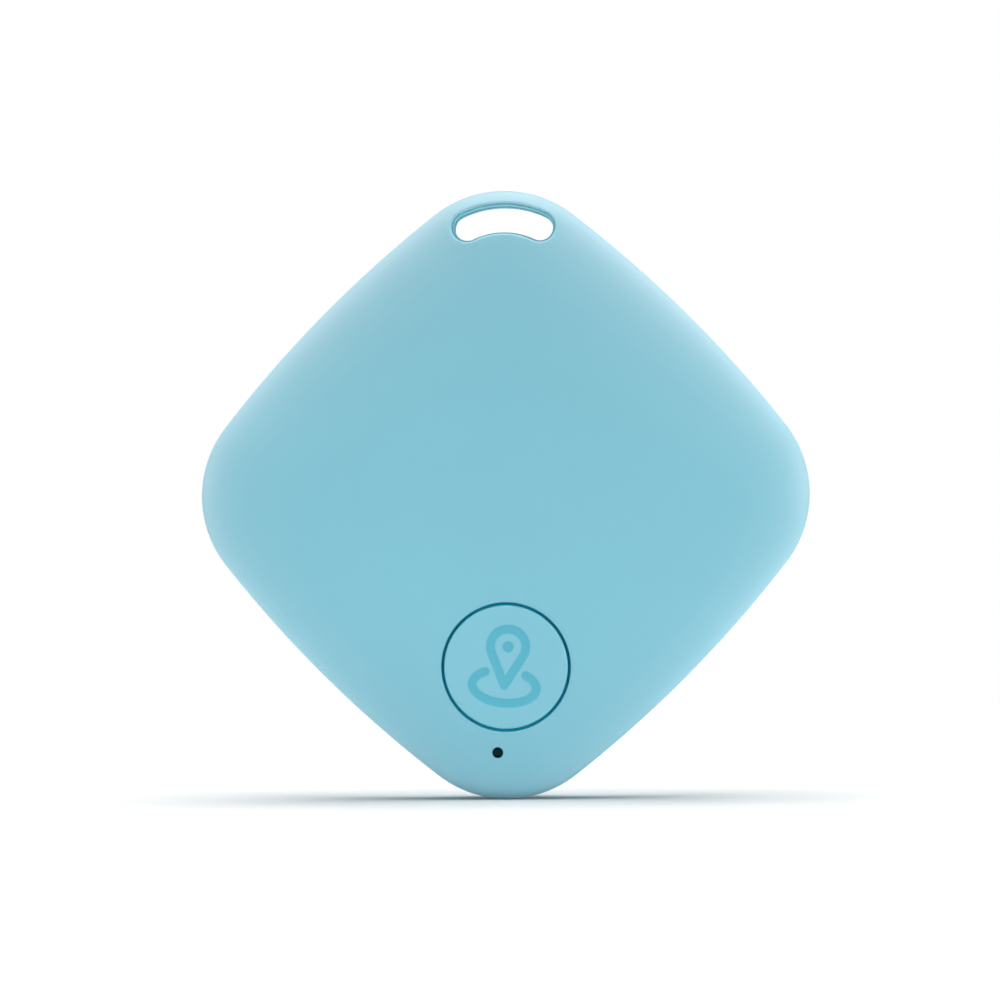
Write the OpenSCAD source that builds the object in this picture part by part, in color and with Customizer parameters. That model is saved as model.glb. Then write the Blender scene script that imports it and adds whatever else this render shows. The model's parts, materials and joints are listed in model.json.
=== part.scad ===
// Bluetooth tracker tag: a rounded-diamond pillow case that holds a board, a sounder and a coin cell.
// Row frame: +Z up, the front faces -Y, the origin is the middle of the key-ring slot.
// Each piece is drawn lying down (x right, y up, z towards the front) about the middle of the diamond.

/* [Case outline] */
// Corner to corner size of the diamond
corner_to_corner = 43; // [40:0.5:60]
// Radius of the four rounded corners
corner_r = 7.9; // [6.5:0.1:10]
// Radius of the four bowed sides
side_r = 85.4; // [60:0.1:160]

/* [Case shells] */
// Thickness of the front face
front_wall = 1.1; // [1:0.05:1.6]
// Thickness of the rear face
rear_wall = 0.9; // [0.8:0.05:1.6]
// Thickness of the front cover's side wall
side_wall = 1.2; // [1:0.05:1.5]
// Depth of the front cover's rim, from the parting plane to the face
front_rim = 2.8; // [2.7:0.05:3.3]
// Width of the rounded border of the front face
front_round = 5; // [3:0.1:6]
// Width of the rounded border of the rear face
rear_round = 4.2; // [3:0.1:6]
// Height of the rear cover's tongue inside the front cover
tongue_h = 0.7; // [0.4:0.05:0.75]
// Thickness of the tongue
tongue_t = 0.8; // [0.6:0.05:1]
// Gap between the tongue and the front cover
tongue_gap = 0.1; // [0.05:0.01:0.2]
// Width of the pry notch
notch_w = 5; // [3:0.5:8]
// Height of the pry notch
notch_h = 0.5; // [0.3:0.05:0.8]
// Depth of the pry notch
notch_d = 0.8; // [0.4:0.1:1.2]

/* [Key-ring slot] */
// Width of the curved slot
slot_w = 2.2; // [1.8:0.05:2.6]
// Plastic left between the slot and the corner
slot_rim = 0.9; // [0.8:0.05:1.4]
// Half of the angle that the slot bends through
slot_half_angle = 25.8; // [15:0.1:30]
// Wall between the slot and the inside of the case
slot_wall = 1.2; // [0.8:0.05:1.6]

/* [Button] */
// Distance of the button below the middle
button_drop = 12.1; // [11:0.1:13]
// Radius of the button hole
button_hole_r = 4.55; // [3.8:0.05:4.8]
// Gap round the button
button_gap = 0.2; // [0.1:0.01:0.3]
// Travel of the button
button_travel = 0.25; // [0.15:0.01:0.28]
// Width of the flange that keeps the button in
flange_w = 0.5; // [0.3:0.05:0.6]
// Thickness of the flange
flange_t = 0.45; // [0.35:0.05:0.6]
// Angle that the pictogram and the small hole are turned by, clockwise
button_tilt = 6; // [0:1:20]
// Radius of the small hole
port_r = 0.385; // [0.3:0.005:0.6]
// Distance of the small hole below the button
port_drop = 6.07; // [5.6:0.01:6.6]

/* [Pictogram] */
// Depth of the pictogram in the button
icon_d = 0.15; // [0.1:0.01:0.3]
// Width of the pictogram's lines
icon_line = 0.62; // [0.4:0.01:0.8]
// Outer radius of the pin's head
pin_r = 1.55; // [1.2:0.05:1.8]
// Radius of the dot in the pin's head
pin_dot_r = 0.39; // [0.3:0.01:0.5]
// Half of the ring's width
ring_a = 2.26; // [1.8:0.01:2.6]
// Length of the pin from its head's centre to its point
pin_drop = 2.73; // [2.2:0.01:2.9]
// Half of the ring's height
ring_b = 1.17; // [1:0.01:1.3]
// Angle at which the ring opens, from its long axis
ring_open_angle = 50; // [40:1:60]

/* [Board] */
// Thickness of the board
board_t = 0.8; // [0.6:0.1:1.2]
// Gap between the board and the tongue
board_gap = 0.3; // [0.2:0.05:0.6]
// Room for components between the board and the front face
comp_space = 1.5; // [1.5:0.05:3]
// Distance of the side screws from the middle
screw_x = 15.3; // [15:0.1:16]
// Gap between the top boss and the rear cover's tongue
boss_gap = 0.2; // [0.1:0.05:0.5]
// Radius of the screws' shanks
screw_r = 0.7; // [0.5:0.05:0.8]
// Radius of the screws' heads
screw_head_r = 1.25; // [1:0.05:1.35]
// Height of the screws' heads
screw_head_h = 0.6; // [0.4:0.05:0.8]
// Length of a screw in the plastic
screw_bite = 1.7; // [1.2:0.1:1.9]
// Radius of the bosses
boss_r = 1.6; // [1.4:0.05:1.8]

/* [Coin cell and holder] */
// Diameter of the cell
cell_d = 20; // [16:0.5:20]
// Height of the cell
cell_h = 3.2; // [2.5:0.1:4]
// Thickness of the cell's steel
cell_skin = 0.25; // [0.2:0.01:0.3]
// Gap round the cell in its holder
cell_gap = 0.1; // [0.05:0.01:0.2]
// Gap between the board and the cell, which the negative contact fills
contact_gap = 0.25; // [0.2:0.01:0.5]
// Thickness of the contacts' leaf
leaf_t = 0.15; // [0.1:0.01:0.18]
// Width of the positive contact
contact_w = 4; // [3:0.1:5]
// Thickness of the holder's ring
holder_t = 0.9; // [0.7:0.05:1]
// Height of the holder's ring
holder_h = 2.3; // [1.8:0.1:2.6]
// Thickness of the foam pad
foam_t = 0.2; // [0.1:0.05:0.4]
// Radius of the foam pad
foam_r = 6; // [4:0.1:8]
// Gap between the foam pad and the cell
foam_gap = 0.05; // [0.02:0.01:0.1]

/* [Sounder] */
// Radius of the brass disc
buzzer_r = 6.5; // [5:0.1:6.8]
// Height of the sounder above the middle
buzzer_y = 4.2; // [4:0.1:5.5]
// Thickness of the brass disc
buzzer_plate_t = 0.2; // [0.1:0.01:0.22]
// Radius of the ceramic disc
ceramic_r = 4.5; // [3:0.1:5]
// Thickness of the ceramic disc
ceramic_t = 0.15; // [0.1:0.01:0.2]
// Thickness of the silvered face
electrode_t = 0.03; // [0.02:0.01:0.05]
// Width of the ring that carries the disc
seat_w = 0.8; // [0.5:0.1:1.2]
// Height of the ring that carries the disc
seat_h = 0.3; // [0.2:0.05:0.4]
// Thickness of the adhesive ring
glue_t = 0.1; // [0.05:0.01:0.12]
// Radius of the leads
wire_r = 0.2; // [0.15:0.01:0.22]

/* [Hidden] */

$fn = 64;
// How far a cut runs past the face that it opens
over = 1;
// How far a piece that is joined to another runs into it
sink = 0.2;
// Pieces that slide along each other are this far apart
run_gap = 0.02;

// Stack of the tag along its thickness, from the rear face to the front face
cell_skin_gap = foam_t + foam_gap;
body_t = rear_wall + cell_skin_gap + cell_h + contact_gap + board_t + comp_space + front_wall;
face_z = body_t / 2;
back_z = -face_z;
ceiling_z = face_z - front_wall;
board_front_z = ceiling_z - comp_space;
board_back_z = board_front_z - board_t;
cell_top_z = board_back_z - contact_gap;
cell_low_z = cell_top_z - cell_h;
floor_z = back_z + rear_wall;
part_z = face_z - front_rim;

// Outline of the case
tip = corner_to_corner / 2;
crown_drop = 0.18;
crown_top = 0.35;
crown_scales = [0.7, crown_top];
corner_steps = 10;
side_steps = 6;
loft_steps = 6;
slot_steps = 10;

// Inside of the case
front_bay_shoulder = part_z + tongue_h + tongue_gap;
front_bay_round = 2.9;
tongue_inset = side_wall + tongue_gap;
rear_bay_inset = tongue_inset + tongue_t;
rear_bay_round = 3.4;
rear_bay_shoulder = part_z - 1.8;
rear_shoulder = part_z - 0.6;
board_inset = rear_bay_inset + board_gap;

// Key-ring slot, an arc about the centre of the top corner
slot_y0 = tip - corner_r;
slot_arc_r = corner_r - slot_rim - slot_w / 2;
slot_end_x = slot_arc_r * sin(slot_half_angle);
slot_end_y = slot_y0 + slot_arc_r * cos(slot_half_angle);
slot_y = slot_y0 + slot_arc_r;
bay_top = slot_end_y - slot_w / 2 - slot_wall;

// Button, switch and small hole
button_r = button_hole_r - button_gap;
flange_r = button_hole_r + flange_w;
key_w = 1;
key_l = 0.5;
key_rib_t = 0.6;
key_gap = 0.1;
key_rib_x = key_w / 2 + key_gap + key_rib_t / 2;
inner_point_r = 0.05;
pin_y = 1.43;
ring_y = -1.37;
port_x = -port_drop * sin(button_tilt);
port_y = -button_drop - port_drop * cos(button_tilt);
nub_r = 1;
nub_h = 0.1;
flange_low_z = ceiling_z - flange_t;
stem_top_z = flange_low_z - nub_h;
switch_w = 3.2;
switch_plate_t = 0.1;
switch_gap = 0.05;
switch_plate_z = stem_top_z - button_travel - switch_gap;
switch_base_z = switch_plate_z - switch_plate_t;
well_r = 1.15;
stem_r = 0.65;
stem_hole_gap = 0.07;
stem_flange_r = 0.95;
stem_flange_t = 0.1;
dome_r = 1.05;
dome_t = 0.06;
well_floor = 0.1;
dome_low_z = board_front_z + well_floor;
dome_top_z = switch_base_z - stem_flange_t - run_gap;

// Holes in the board
board_hole_gap = 0.1;

// Cell and holder
cell_r = cell_d / 2;
crimp_drop = 0.15;
crimp_edge = 0.2;
can_edge = 0.4;
cap_skirt = 1.2;
seal_h = 1.1;
contact_room = 0.2;
finger_notch_w = 6;
holder_in_r = cell_r + cell_gap;
holder_out_r = holder_in_r + holder_t;
peg_r = 0.5;
peg_gap = 0.05;
foot_l = 2.4;
cap_r = cell_r - 1.4;
seal_r = cell_r - 0.75;
pocket_gap = 0.1;

// Board components on the back of the board: [width, length, height]
chip = [4, 4, 0.85];
crystal = [3.2, 2.5, 0.7];
clock = [3.2, 1.5, 0.8];
antenna = [6.5, 2.2, 0.9];
driver = [1.3, 2.9, 0.95];
// Side and place of the driver's three legs
driver_legs = [[1, -1], [-1, 0], [1, 1]];
driver_pitch = 0.95;
driver_foot = [0.6, 0.4, 0.15];
driver_reach = 0.25;
coil = [2, 1.6, 0.9];
small = [1, 0.5, 0.4];
tall_small = [1, 0.5, 0.5];
led = [1.6, 0.8, 0.6];

screw_y = bay_top - tongue_gap - tongue_t - boss_gap - boss_r;
screw_places = [[-screw_x, 0], [screw_x, 0], [0, screw_y]];
// Angle and distance from the middle of each component, on the four slanting edges of the board
edge_r = holder_out_r + 2.3;
capacitor_places = [
  [117, edge_r + 0.6], [122, edge_r - 0.8], [152, edge_r + 0.4],
  [63, edge_r + 1], [68, edge_r - 0.3], [212, edge_r], [248, edge_r + 0.6], [297, edge_r + 0.6]
];
resistor_places = [
  [156, edge_r - 0.6], [26, edge_r], [208, edge_r + 1.2], [302, edge_r - 0.7], [337, edge_r + 0.5]
];

// Sounder
glue_z = ceiling_z - seat_h;
plate_z = glue_z - glue_t;
ceramic_z = plate_z - buzzer_plate_t;
electrode_z = ceramic_z - ceramic_t;
electrode_low_z = electrode_z - electrode_t;
electrode_r = ceramic_r - 0.4;
blob_r = 0.55;
blob_h = 0.3;
pad_h = 0.5;
wire_sides = 8;
wire_z = board_front_z + wire_r + 0.05;
red_start = [buzzer_r - 0.95, buzzer_y];
black_start = [-1.5, buzzer_y - 2];
// Ways of the two leads on the front of the board, from under the sounder to their pads
red_way = [[7.4, 3.8], [8.4, 3.2], [9.1, 2.2], [9.4, 0.8], [9.4, -0.8], [9.2, -2.2]];
black_way = [[-3.6, 0.6], [-5.2, -0.1], [-6.8, -0.3], [-8.2, -0.7], [-9, -1.4], [-9.2, -2.4]];

// ---- shared shapes ----

// Points of the case outline, inset by d: corner arcs joined to bowed side arcs
function arc_points(cx, cy, r, a0, a1, n) =
  [for (i = [0 : n - 1]) let (a = a0 + (a1 - a0) * i / n) [cx + r * cos(a), cy + r * sin(a)]];
function turned(p, a) = [p[0] * cos(a) - p[1] * sin(a), p[0] * sin(a) + p[1] * cos(a)];
corner_c = tip - corner_r;
side_c = corner_c / sqrt(2) - sqrt(pow(side_r - corner_r, 2) - pow(corner_c / sqrt(2), 2));
corner_a = 45 - asin(corner_c / sqrt(2) / (side_r - corner_r));
function quarter(d) = concat(
  arc_points(corner_c, 0, corner_r - d, -corner_a, corner_a, corner_steps),
  [for (p = arc_points(0, 0, side_r - d, corner_a, 90 - corner_a, side_steps))
    [p[0] + side_c / sqrt(2), p[1] + side_c / sqrt(2)]]
);
function outline(d) = [for (q = [0 : 3]) each [for (p = quarter(d)) turned(p, 90 * q)]];

// Closed solid through rings of points, each ring anticlockwise about the way that the stack runs
module skin(rings) {
  n = len(rings[0]);
  last = len(rings) - 1;
  polyhedron(
    points = [for (r = rings) each r],
    faces = concat(
      [[for (i = [0 : n - 1]) i]],
      [[for (i = [0 : n - 1]) last * n + n - 1 - i]],
      [for (k = [0 : last - 1]) each [for (i = [0 : n - 1]) each [
        [k * n + i, (k + 1) * n + i, (k + 1) * n + (i + 1) % n],
        [k * n + i, (k + 1) * n + (i + 1) % n, k * n + (i + 1) % n]
      ]]]
    ),
    convexity = 4
  );
}

// Closed solid through a stack of outlines, each given as [inset, height, scale], in rising order
module loft(levels) {
  skin([for (l = levels) [for (p = outline(l[0]) * l[2]) [p[0], p[1], l[1]]]]);
}

// Levels of a quarter-round border, from the shoulder to the face
function border(inset, width, shoulder, face) = [
  for (k = [0 : loft_steps]) let (a = 90 * k / loft_steps)
    [inset + width * (1 - cos(a)), shoulder + (face - shoulder) * sin(a), 1]
];
function flipped(levels) = [for (i = [len(levels) - 1 : -1 : 0]) levels[i]];

module front_form() {
  loft(concat(
    border(0, front_round, part_z, face_z - crown_drop),
    [for (s = crown_scales) [front_round, face_z - crown_drop * (s * s - crown_top * crown_top), s]]
  ));
}

module rear_form() {
  loft(concat(flipped(border(0, rear_round, rear_shoulder, back_z)), [[0, part_z, 1]]));
}

// Everything below the wall that closes the inside of the case under the slot
module below_slot(inset = 0) {
  span = corner_to_corner;
  translate([-span / 2, -span + bay_top - inset, -span / 2]) cube([span, span, span]);
}

// Outline of the slot: its two arcs and its two round ends
function slot_outline() =
  let (h = slot_half_angle, n = slot_steps)
  concat(
    arc_points(0, slot_y0, slot_arc_r + slot_w / 2, 90 - h, 90 + h, n),
    arc_points(-slot_end_x, slot_end_y, slot_w / 2, 90 + h, 270 + h, n),
    arc_points(0, slot_y0, slot_arc_r - slot_w / 2, 90 + h, 90 - h, n),
    arc_points(slot_end_x, slot_end_y, slot_w / 2, 270 - h, 450 - h, n)
  );

module slot_cut() {
  translate([0, 0, back_z - over]) linear_extrude(body_t + 2 * over) polygon(slot_outline());
}

// Stands a piece up in the row frame
module stood() {
  translate([0, 0, -slot_y]) rotate([90, 0, 0]) children();
}

// Puts a component on the back of the board, turned to the board's slanting edge
module on_back(angle, r, turn = 0) {
  rotate([0, 0, angle]) translate([r, 0, board_back_z]) rotate([0, 0, 90 + turn]) children();
}

// A box whose top lies at z = 0 and which stands down from it, centred on x and y
module block(size) {
  translate([-size[0] / 2, -size[1] / 2, -size[2]]) cube(size);
}

module at_button() {
  translate([0, -button_drop, 0]) children();
}

// ---- case ----

module front_bay() {
  intersection() {
    loft(concat([[side_wall, part_z - over, 1]],
      border(side_wall, front_bay_round, front_bay_shoulder, ceiling_z)));
    below_slot();
  }
}

module front_cover() color("#84c5d8") stood() {
  difference() {
    union() {
      difference() {
        front_form();
        front_bay();
      }
      for (p = screw_places)
        translate([p[0], p[1], board_front_z]) cylinder(r = boss_r, h = comp_space + sink);
      translate([0, buzzer_y, glue_z]) difference() {
        cylinder(r = buzzer_r, h = seat_h + sink);
        translate([0, 0, -over]) cylinder(r = buzzer_r - seat_w, h = seat_h + over);
      }
      for (side = [-1, 1])
        translate([side * key_rib_x, flange_r + key_gap + key_l / 2 - button_drop, ceiling_z + sink])
          block([key_rib_t, key_l, flange_t + sink]);
    }
    slot_cut();
    at_button() translate([0, 0, ceiling_z - over]) cylinder(r = button_hole_r, h = front_wall + 2 * over);
    translate([port_x, port_y, ceiling_z - over]) cylinder(r = port_r, h = front_wall + 2 * over);
    for (p = screw_places)
      translate([p[0], p[1], board_front_z - over])
        cylinder(r = screw_r + run_gap, h = screw_bite + run_gap + over);
  }
}

module rear_bay() {
  intersection() {
    loft(concat(flipped(border(rear_bay_inset, rear_bay_round, rear_bay_shoulder, floor_z)),
      [[rear_bay_inset, part_z + tongue_h + over, 1]]));
    below_slot(tongue_t + tongue_gap);
  }
}

module rear_cover() color("#7fc0d3") stood() {
  difference() {
    union() {
      rear_form();
      intersection() {
        translate([0, 0, part_z - sink]) linear_extrude(tongue_h + sink) polygon(outline(tongue_inset));
        below_slot(tongue_gap);
      }
    }
    rear_bay();
    slot_cut();
    translate([-notch_w / 2, -tip - over, part_z - notch_h]) cube([notch_w, notch_d + over, notch_h + over]);
  }
}

// ---- button ----

// Disc drawn out to a rounded point at a given distance below its centre
module teardrop(r, drop, point_r) {
  lean = asin((r - point_r) / drop);
  circle(r = r);
  translate([0, -drop]) circle(r = point_r);
  polygon([
    [r * cos(lean), -r * sin(lean)], [point_r * cos(lean), -drop - point_r * sin(lean)],
    [-point_r * cos(lean), -drop - point_r * sin(lean)], [-r * cos(lean), -r * sin(lean)]
  ]);
}

module ellipse(a, b) {
  scale([a, b]) circle(r = 1);
}

// Map pin standing in an open ring, about the middle of the button
module pictogram() {
  half = icon_line / 2;
  gap_x = ring_a * cos(ring_open_angle);
  gap_y = ring_b * sin(ring_open_angle);
  translate([0, pin_y]) difference() {
    teardrop(pin_r, pin_drop, half);
    teardrop(pin_r - icon_line, pin_drop - icon_line, inner_point_r);
  }
  translate([0, pin_y]) circle(r = pin_dot_r);
  translate([0, ring_y]) {
    difference() {
      ellipse(ring_a + half, ring_b + half);
      ellipse(ring_a - half, ring_b - half);
      polygon([[0, 0], [2 * gap_x, 2 * gap_y], [-2 * gap_x, 2 * gap_y]]);
    }
    for (side = [-1, 1])
      translate([side * gap_x, gap_y]) circle(r = half);
  }
}

module button_cap() color("#86c8d9") stood() at_button() {
  difference() {
    intersection() {
      translate([0, button_drop, 0]) front_form();
      translate([0, 0, ceiling_z - sink]) cylinder(r = button_r, h = front_wall + sink + over);
    }
    translate([0, 0, face_z - crown_drop - icon_d]) linear_extrude(over)
      rotate([0, 0, -button_tilt]) pictogram();
  }
  translate([0, 0, flange_low_z]) cylinder(r = flange_r, h = flange_t);
  translate([-key_w / 2, flange_r - key_l / 2, flange_low_z]) cube([key_w, key_l, flange_t]);
  translate([0, 0, stem_top_z]) cylinder(r = nub_r, h = nub_h + sink);
}

// ---- push switch ----

module switch_base() color("#2b2b2d") stood() at_button() {
  difference() {
    translate([0, 0, switch_base_z]) block([switch_w, switch_w, switch_base_z - board_front_z]);
    translate([0, 0, dome_low_z]) cylinder(r = well_r, h = comp_space);
  }
}

module switch_plate() color("#c9ccd0") stood() at_button() {
  difference() {
    translate([0, 0, switch_plate_z]) block([switch_w, switch_w, switch_plate_t]);
    translate([0, 0, switch_base_z - over]) cylinder(r = stem_r + stem_hole_gap, h = 2 * over);
  }
}

module switch_dome() color("#d8c9a0") stood() at_button() {
  rise = dome_top_z - dome_low_z - dome_t;
  bow_r = (dome_r * dome_r + rise * rise) / (2 * rise);
  intersection() {
    translate([0, 0, dome_low_z + rise - bow_r]) difference() {
      sphere(r = bow_r + dome_t);
      sphere(r = bow_r);
    }
    translate([0, 0, dome_low_z]) cylinder(r = dome_r, h = comp_space);
  }
}

module switch_stem() color("#1f1f21") stood() at_button() {
  translate([0, 0, dome_top_z + run_gap]) {
    cylinder(r = stem_r, h = stem_top_z - dome_top_z - run_gap);
    cylinder(r = stem_flange_r, h = stem_flange_t - run_gap);
  }
}

// ---- board ----

module circuit_board() color("#1f6b4a") stood() {
  difference() {
    translate([0, 0, board_back_z]) intersection() {
      linear_extrude(board_t) polygon(outline(board_inset));
      below_slot(board_inset - side_wall);
    }
    for (p = screw_places)
      translate([p[0], p[1], board_back_z - over])
        cylinder(r = screw_r + board_hole_gap, h = board_t + 2 * over);
    for (side = [-1, 1])
      translate([side * (holder_in_r + holder_t / 2), 0, board_back_z - over])
        cylinder(r = peg_r + peg_gap, h = board_t + 2 * over);
  }
}

module screw() {
  slot_l = 1.3;
  slot_t = 0.3;
  difference() {
    union() {
      cylinder(r = screw_r, h = board_t + screw_bite);
      translate([0, 0, -screw_head_h]) cylinder(r = screw_head_r, h = screw_head_h);
    }
    for (turn = [45, 135])
      rotate([0, 0, turn])
        translate([-slot_l / 2, -slot_t / 2, -screw_head_h - over])
          cube([slot_l, slot_t, screw_head_h / 2 + over]);
  }
}

module board_screws() color("#b9bcc2") stood() {
  for (p = screw_places)
    translate([p[0], p[1], board_back_z]) screw();
}

module bluetooth_chip() color("#202124") stood() on_back(135, edge_r) block(chip);

module main_crystal() color("#cfd2d6") stood() on_back(225, edge_r) block(crystal);

module clock_crystal() color("#d9c88f") stood() on_back(163, edge_r + 0.5) block(clock);

module chip_antenna() color("#e9e6dc") stood() on_back(45, edge_r + 0.2) block(antenna);

module buzzer_driver() color("#26272a") stood() on_back(315, edge_r, 90) {
  block(driver);
  for (leg = driver_legs)
    translate([leg[0] * (driver[0] / 2 + driver_reach), leg[1] * driver_pitch, 0]) block(driver_foot);
}

module inductor() color("#3b3a3c") stood() on_back(328, edge_r + 0.2) block(coil);

module capacitors() color("#b08d62") stood() {
  for (p = capacitor_places)
    on_back(p[0], p[1], 90) block(tall_small);
}

module resistors() color("#303235") stood() {
  for (p = resistor_places)
    on_back(p[0], p[1]) block(small);
}

module status_led() color("#f4f1e2") stood() {
  translate([port_x, port_y, board_front_z + led[2]]) block(led);
}

// ---- cell, holder and contacts ----

module cell_holder() color("#26282b") stood() {
  difference() {
    union() {
      translate([0, 0, board_back_z - holder_h]) cylinder(r = holder_out_r, h = holder_h);
      for (side = [-1, 1])
        translate([side * (holder_in_r + holder_t / 2), 0, board_back_z - sink])
          cylinder(r = peg_r, h = board_t + sink);
    }
    translate([0, 0, board_back_z - holder_h - over]) cylinder(r = holder_in_r, h = holder_h + 2 * over);
    rotate([0, 0, -90]) translate([0, -contact_w / 2 - contact_room, board_back_z - holder_h - over])
      cube([holder_out_r + over, contact_w + 2 * contact_room, holder_h + 2 * over]);
    rotate([0, 0, 90]) translate([0, -finger_notch_w / 2, board_back_z - holder_h - over])
      cube([holder_out_r + over, finger_notch_w, holder_h / 2 + over]);
  }
}

module positive_contact() color("#d4d0c0") stood() rotate([0, 0, -90]) {
  leaf_x = cell_r + run_gap;
  translate([leaf_x, -contact_w / 2, board_back_z - holder_h]) cube([leaf_t, contact_w, holder_h]);
  translate([leaf_x, -contact_w / 2, board_back_z - leaf_t]) cube([foot_l, contact_w, leaf_t]);
}

module negative_contact() color("#d4d0c0") stood() {
  finger_l = 6;
  finger_w = 1.6;
  base_r = 2;
  translate([0, 0, board_back_z - leaf_t]) {
    cylinder(r = base_r, h = leaf_t);
    for (turn = [90, 210, 330])
      rotate([0, 0, turn]) {
        translate([0, -finger_w / 2, 0]) cube([finger_l, finger_w, leaf_t]);
        translate([finger_l, 0, run_gap - contact_gap + leaf_t])
          cylinder(r = finger_w / 2, h = contact_gap - run_gap);
      }
  }
}

module cell_can() color("#c3c6ca") stood() {
  top = cell_h - crimp_drop;
  translate([0, 0, cell_low_z]) rotate_extrude() difference() {
    polygon([[0, 0], [cell_r - can_edge, 0], [cell_r, can_edge], [cell_r, top - crimp_edge],
      [cell_r - cell_skin, top], [0, top]]);
    translate([0, cell_skin]) square([cell_r - cell_skin, top - 2 * cell_skin]);
    translate([0, cell_h / 2]) square([seal_r, cell_h]);
  }
}

module cell_cap() color("#bfc2c6") stood() {
  translate([0, 0, cell_low_z]) rotate_extrude()
    polygon([[0, cell_h - cell_skin], [cap_r - cell_skin, cell_h - cell_skin],
      [cap_r - cell_skin, cell_h - cap_skirt], [cap_r, cell_h - cap_skirt], [cap_r, cell_h - crimp_edge],
      [cap_r - crimp_edge, cell_h], [0, cell_h]]);
}

module cell_seal() color("#d8d6cc") stood() {
  translate([0, 0, cell_top_z - cap_skirt]) difference() {
    cylinder(r = seal_r, h = seal_h);
    translate([0, 0, -over]) cylinder(r = cap_r, h = seal_h + 2 * over);
  }
}

module cell_core() color("#4a4b4d") stood() {
  translate([0, 0, cell_low_z + cell_skin])
    cylinder(r = cap_r - cell_skin - pocket_gap, h = cell_h - 2 * cell_skin - pocket_gap);
}

module foam_pad() color("#4b4e52") stood() {
  translate([0, 0, floor_z]) cylinder(r = foam_r, h = foam_t);
}

// ---- sounder ----

module at_buzzer(z) {
  translate([0, buzzer_y, z]) children();
}

module buzzer_ring() color("#e8e4da") stood() at_buzzer(plate_z) {
  difference() {
    cylinder(r = buzzer_r, h = glue_t);
    translate([0, 0, -over]) cylinder(r = buzzer_r - seat_w, h = glue_t + 2 * over);
  }
}

module buzzer_plate() color("#c9a24a") stood() at_buzzer(ceramic_z)
  cylinder(r = buzzer_r, h = buzzer_plate_t);

module buzzer_ceramic() color("#ece9e1") stood() at_buzzer(electrode_z)
  cylinder(r = ceramic_r, h = ceramic_t);

module buzzer_electrode() color("#cdced0") stood() at_buzzer(electrode_low_z)
  cylinder(r = electrode_r, h = electrode_t);

// Rings of a round lead along a path that is nowhere upright
function unit(v) = v / norm(v);
function lead_rings(path) =
  [for (i = [0 : len(path) - 1])
    let (
      t = unit(path[min(i + 1, len(path) - 1)] - path[max(i - 1, 0)]),
      u = unit(cross(t, [0, 0, 1])),
      w = cross(t, u)
    )
    [for (k = [0 : wire_sides - 1]) let (a = 360 * k / wire_sides)
      path[i] + wire_r * (cos(a) * u + sin(a) * w)]
  ];

// A lead from its solder spot under the sounder, down to the board and along it
module lead(start, start_z, way) {
  skin(lead_rings(concat([[start[0], start[1], start_z]], [for (p = way) [p[0], p[1], wire_z]])));
}

module buzzer_wire_red() color("#c0312b") stood()
  lead(red_start, ceramic_z - blob_h / 2, red_way);

module buzzer_wire_black() color("#1d1d1f") stood()
  lead(black_start, electrode_low_z - blob_h / 2, black_way);

module solder_joints() color("#b4b7bb") stood() {
  translate([red_start[0], red_start[1], ceramic_z - blob_h]) cylinder(r = blob_r, h = blob_h);
  translate([black_start[0], black_start[1], electrode_low_z - blob_h]) cylinder(r = blob_r, h = blob_h);
  for (way = [red_way, black_way])
    translate([way[len(way) - 1][0], way[len(way) - 1][1], board_front_z]) cylinder(r = blob_r, h = pad_h);
}

front_cover();
rear_cover();
button_cap();
circuit_board();
board_screws();
cell_holder();
positive_contact();
negative_contact();
cell_can();
cell_cap();
cell_seal();
cell_core();
foam_pad();
switch_base();
switch_plate();
switch_dome();
switch_stem();
buzzer_ring();
buzzer_plate();
buzzer_ceramic();
buzzer_electrode();
buzzer_wire_red();
buzzer_wire_black();
solder_joints();
bluetooth_chip();
main_crystal();
clock_crystal();
chip_antenna();
buzzer_driver();
inductor();
capacitors();
resistors();
status_led();
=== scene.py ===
"""Looks of the bluetooth tracker tag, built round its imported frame."""

import json
import math

import bmesh
import bpy
import numpy as np
from mathutils import Euler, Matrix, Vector
from mathutils.geometry import delaunay_2d_cdt

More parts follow.
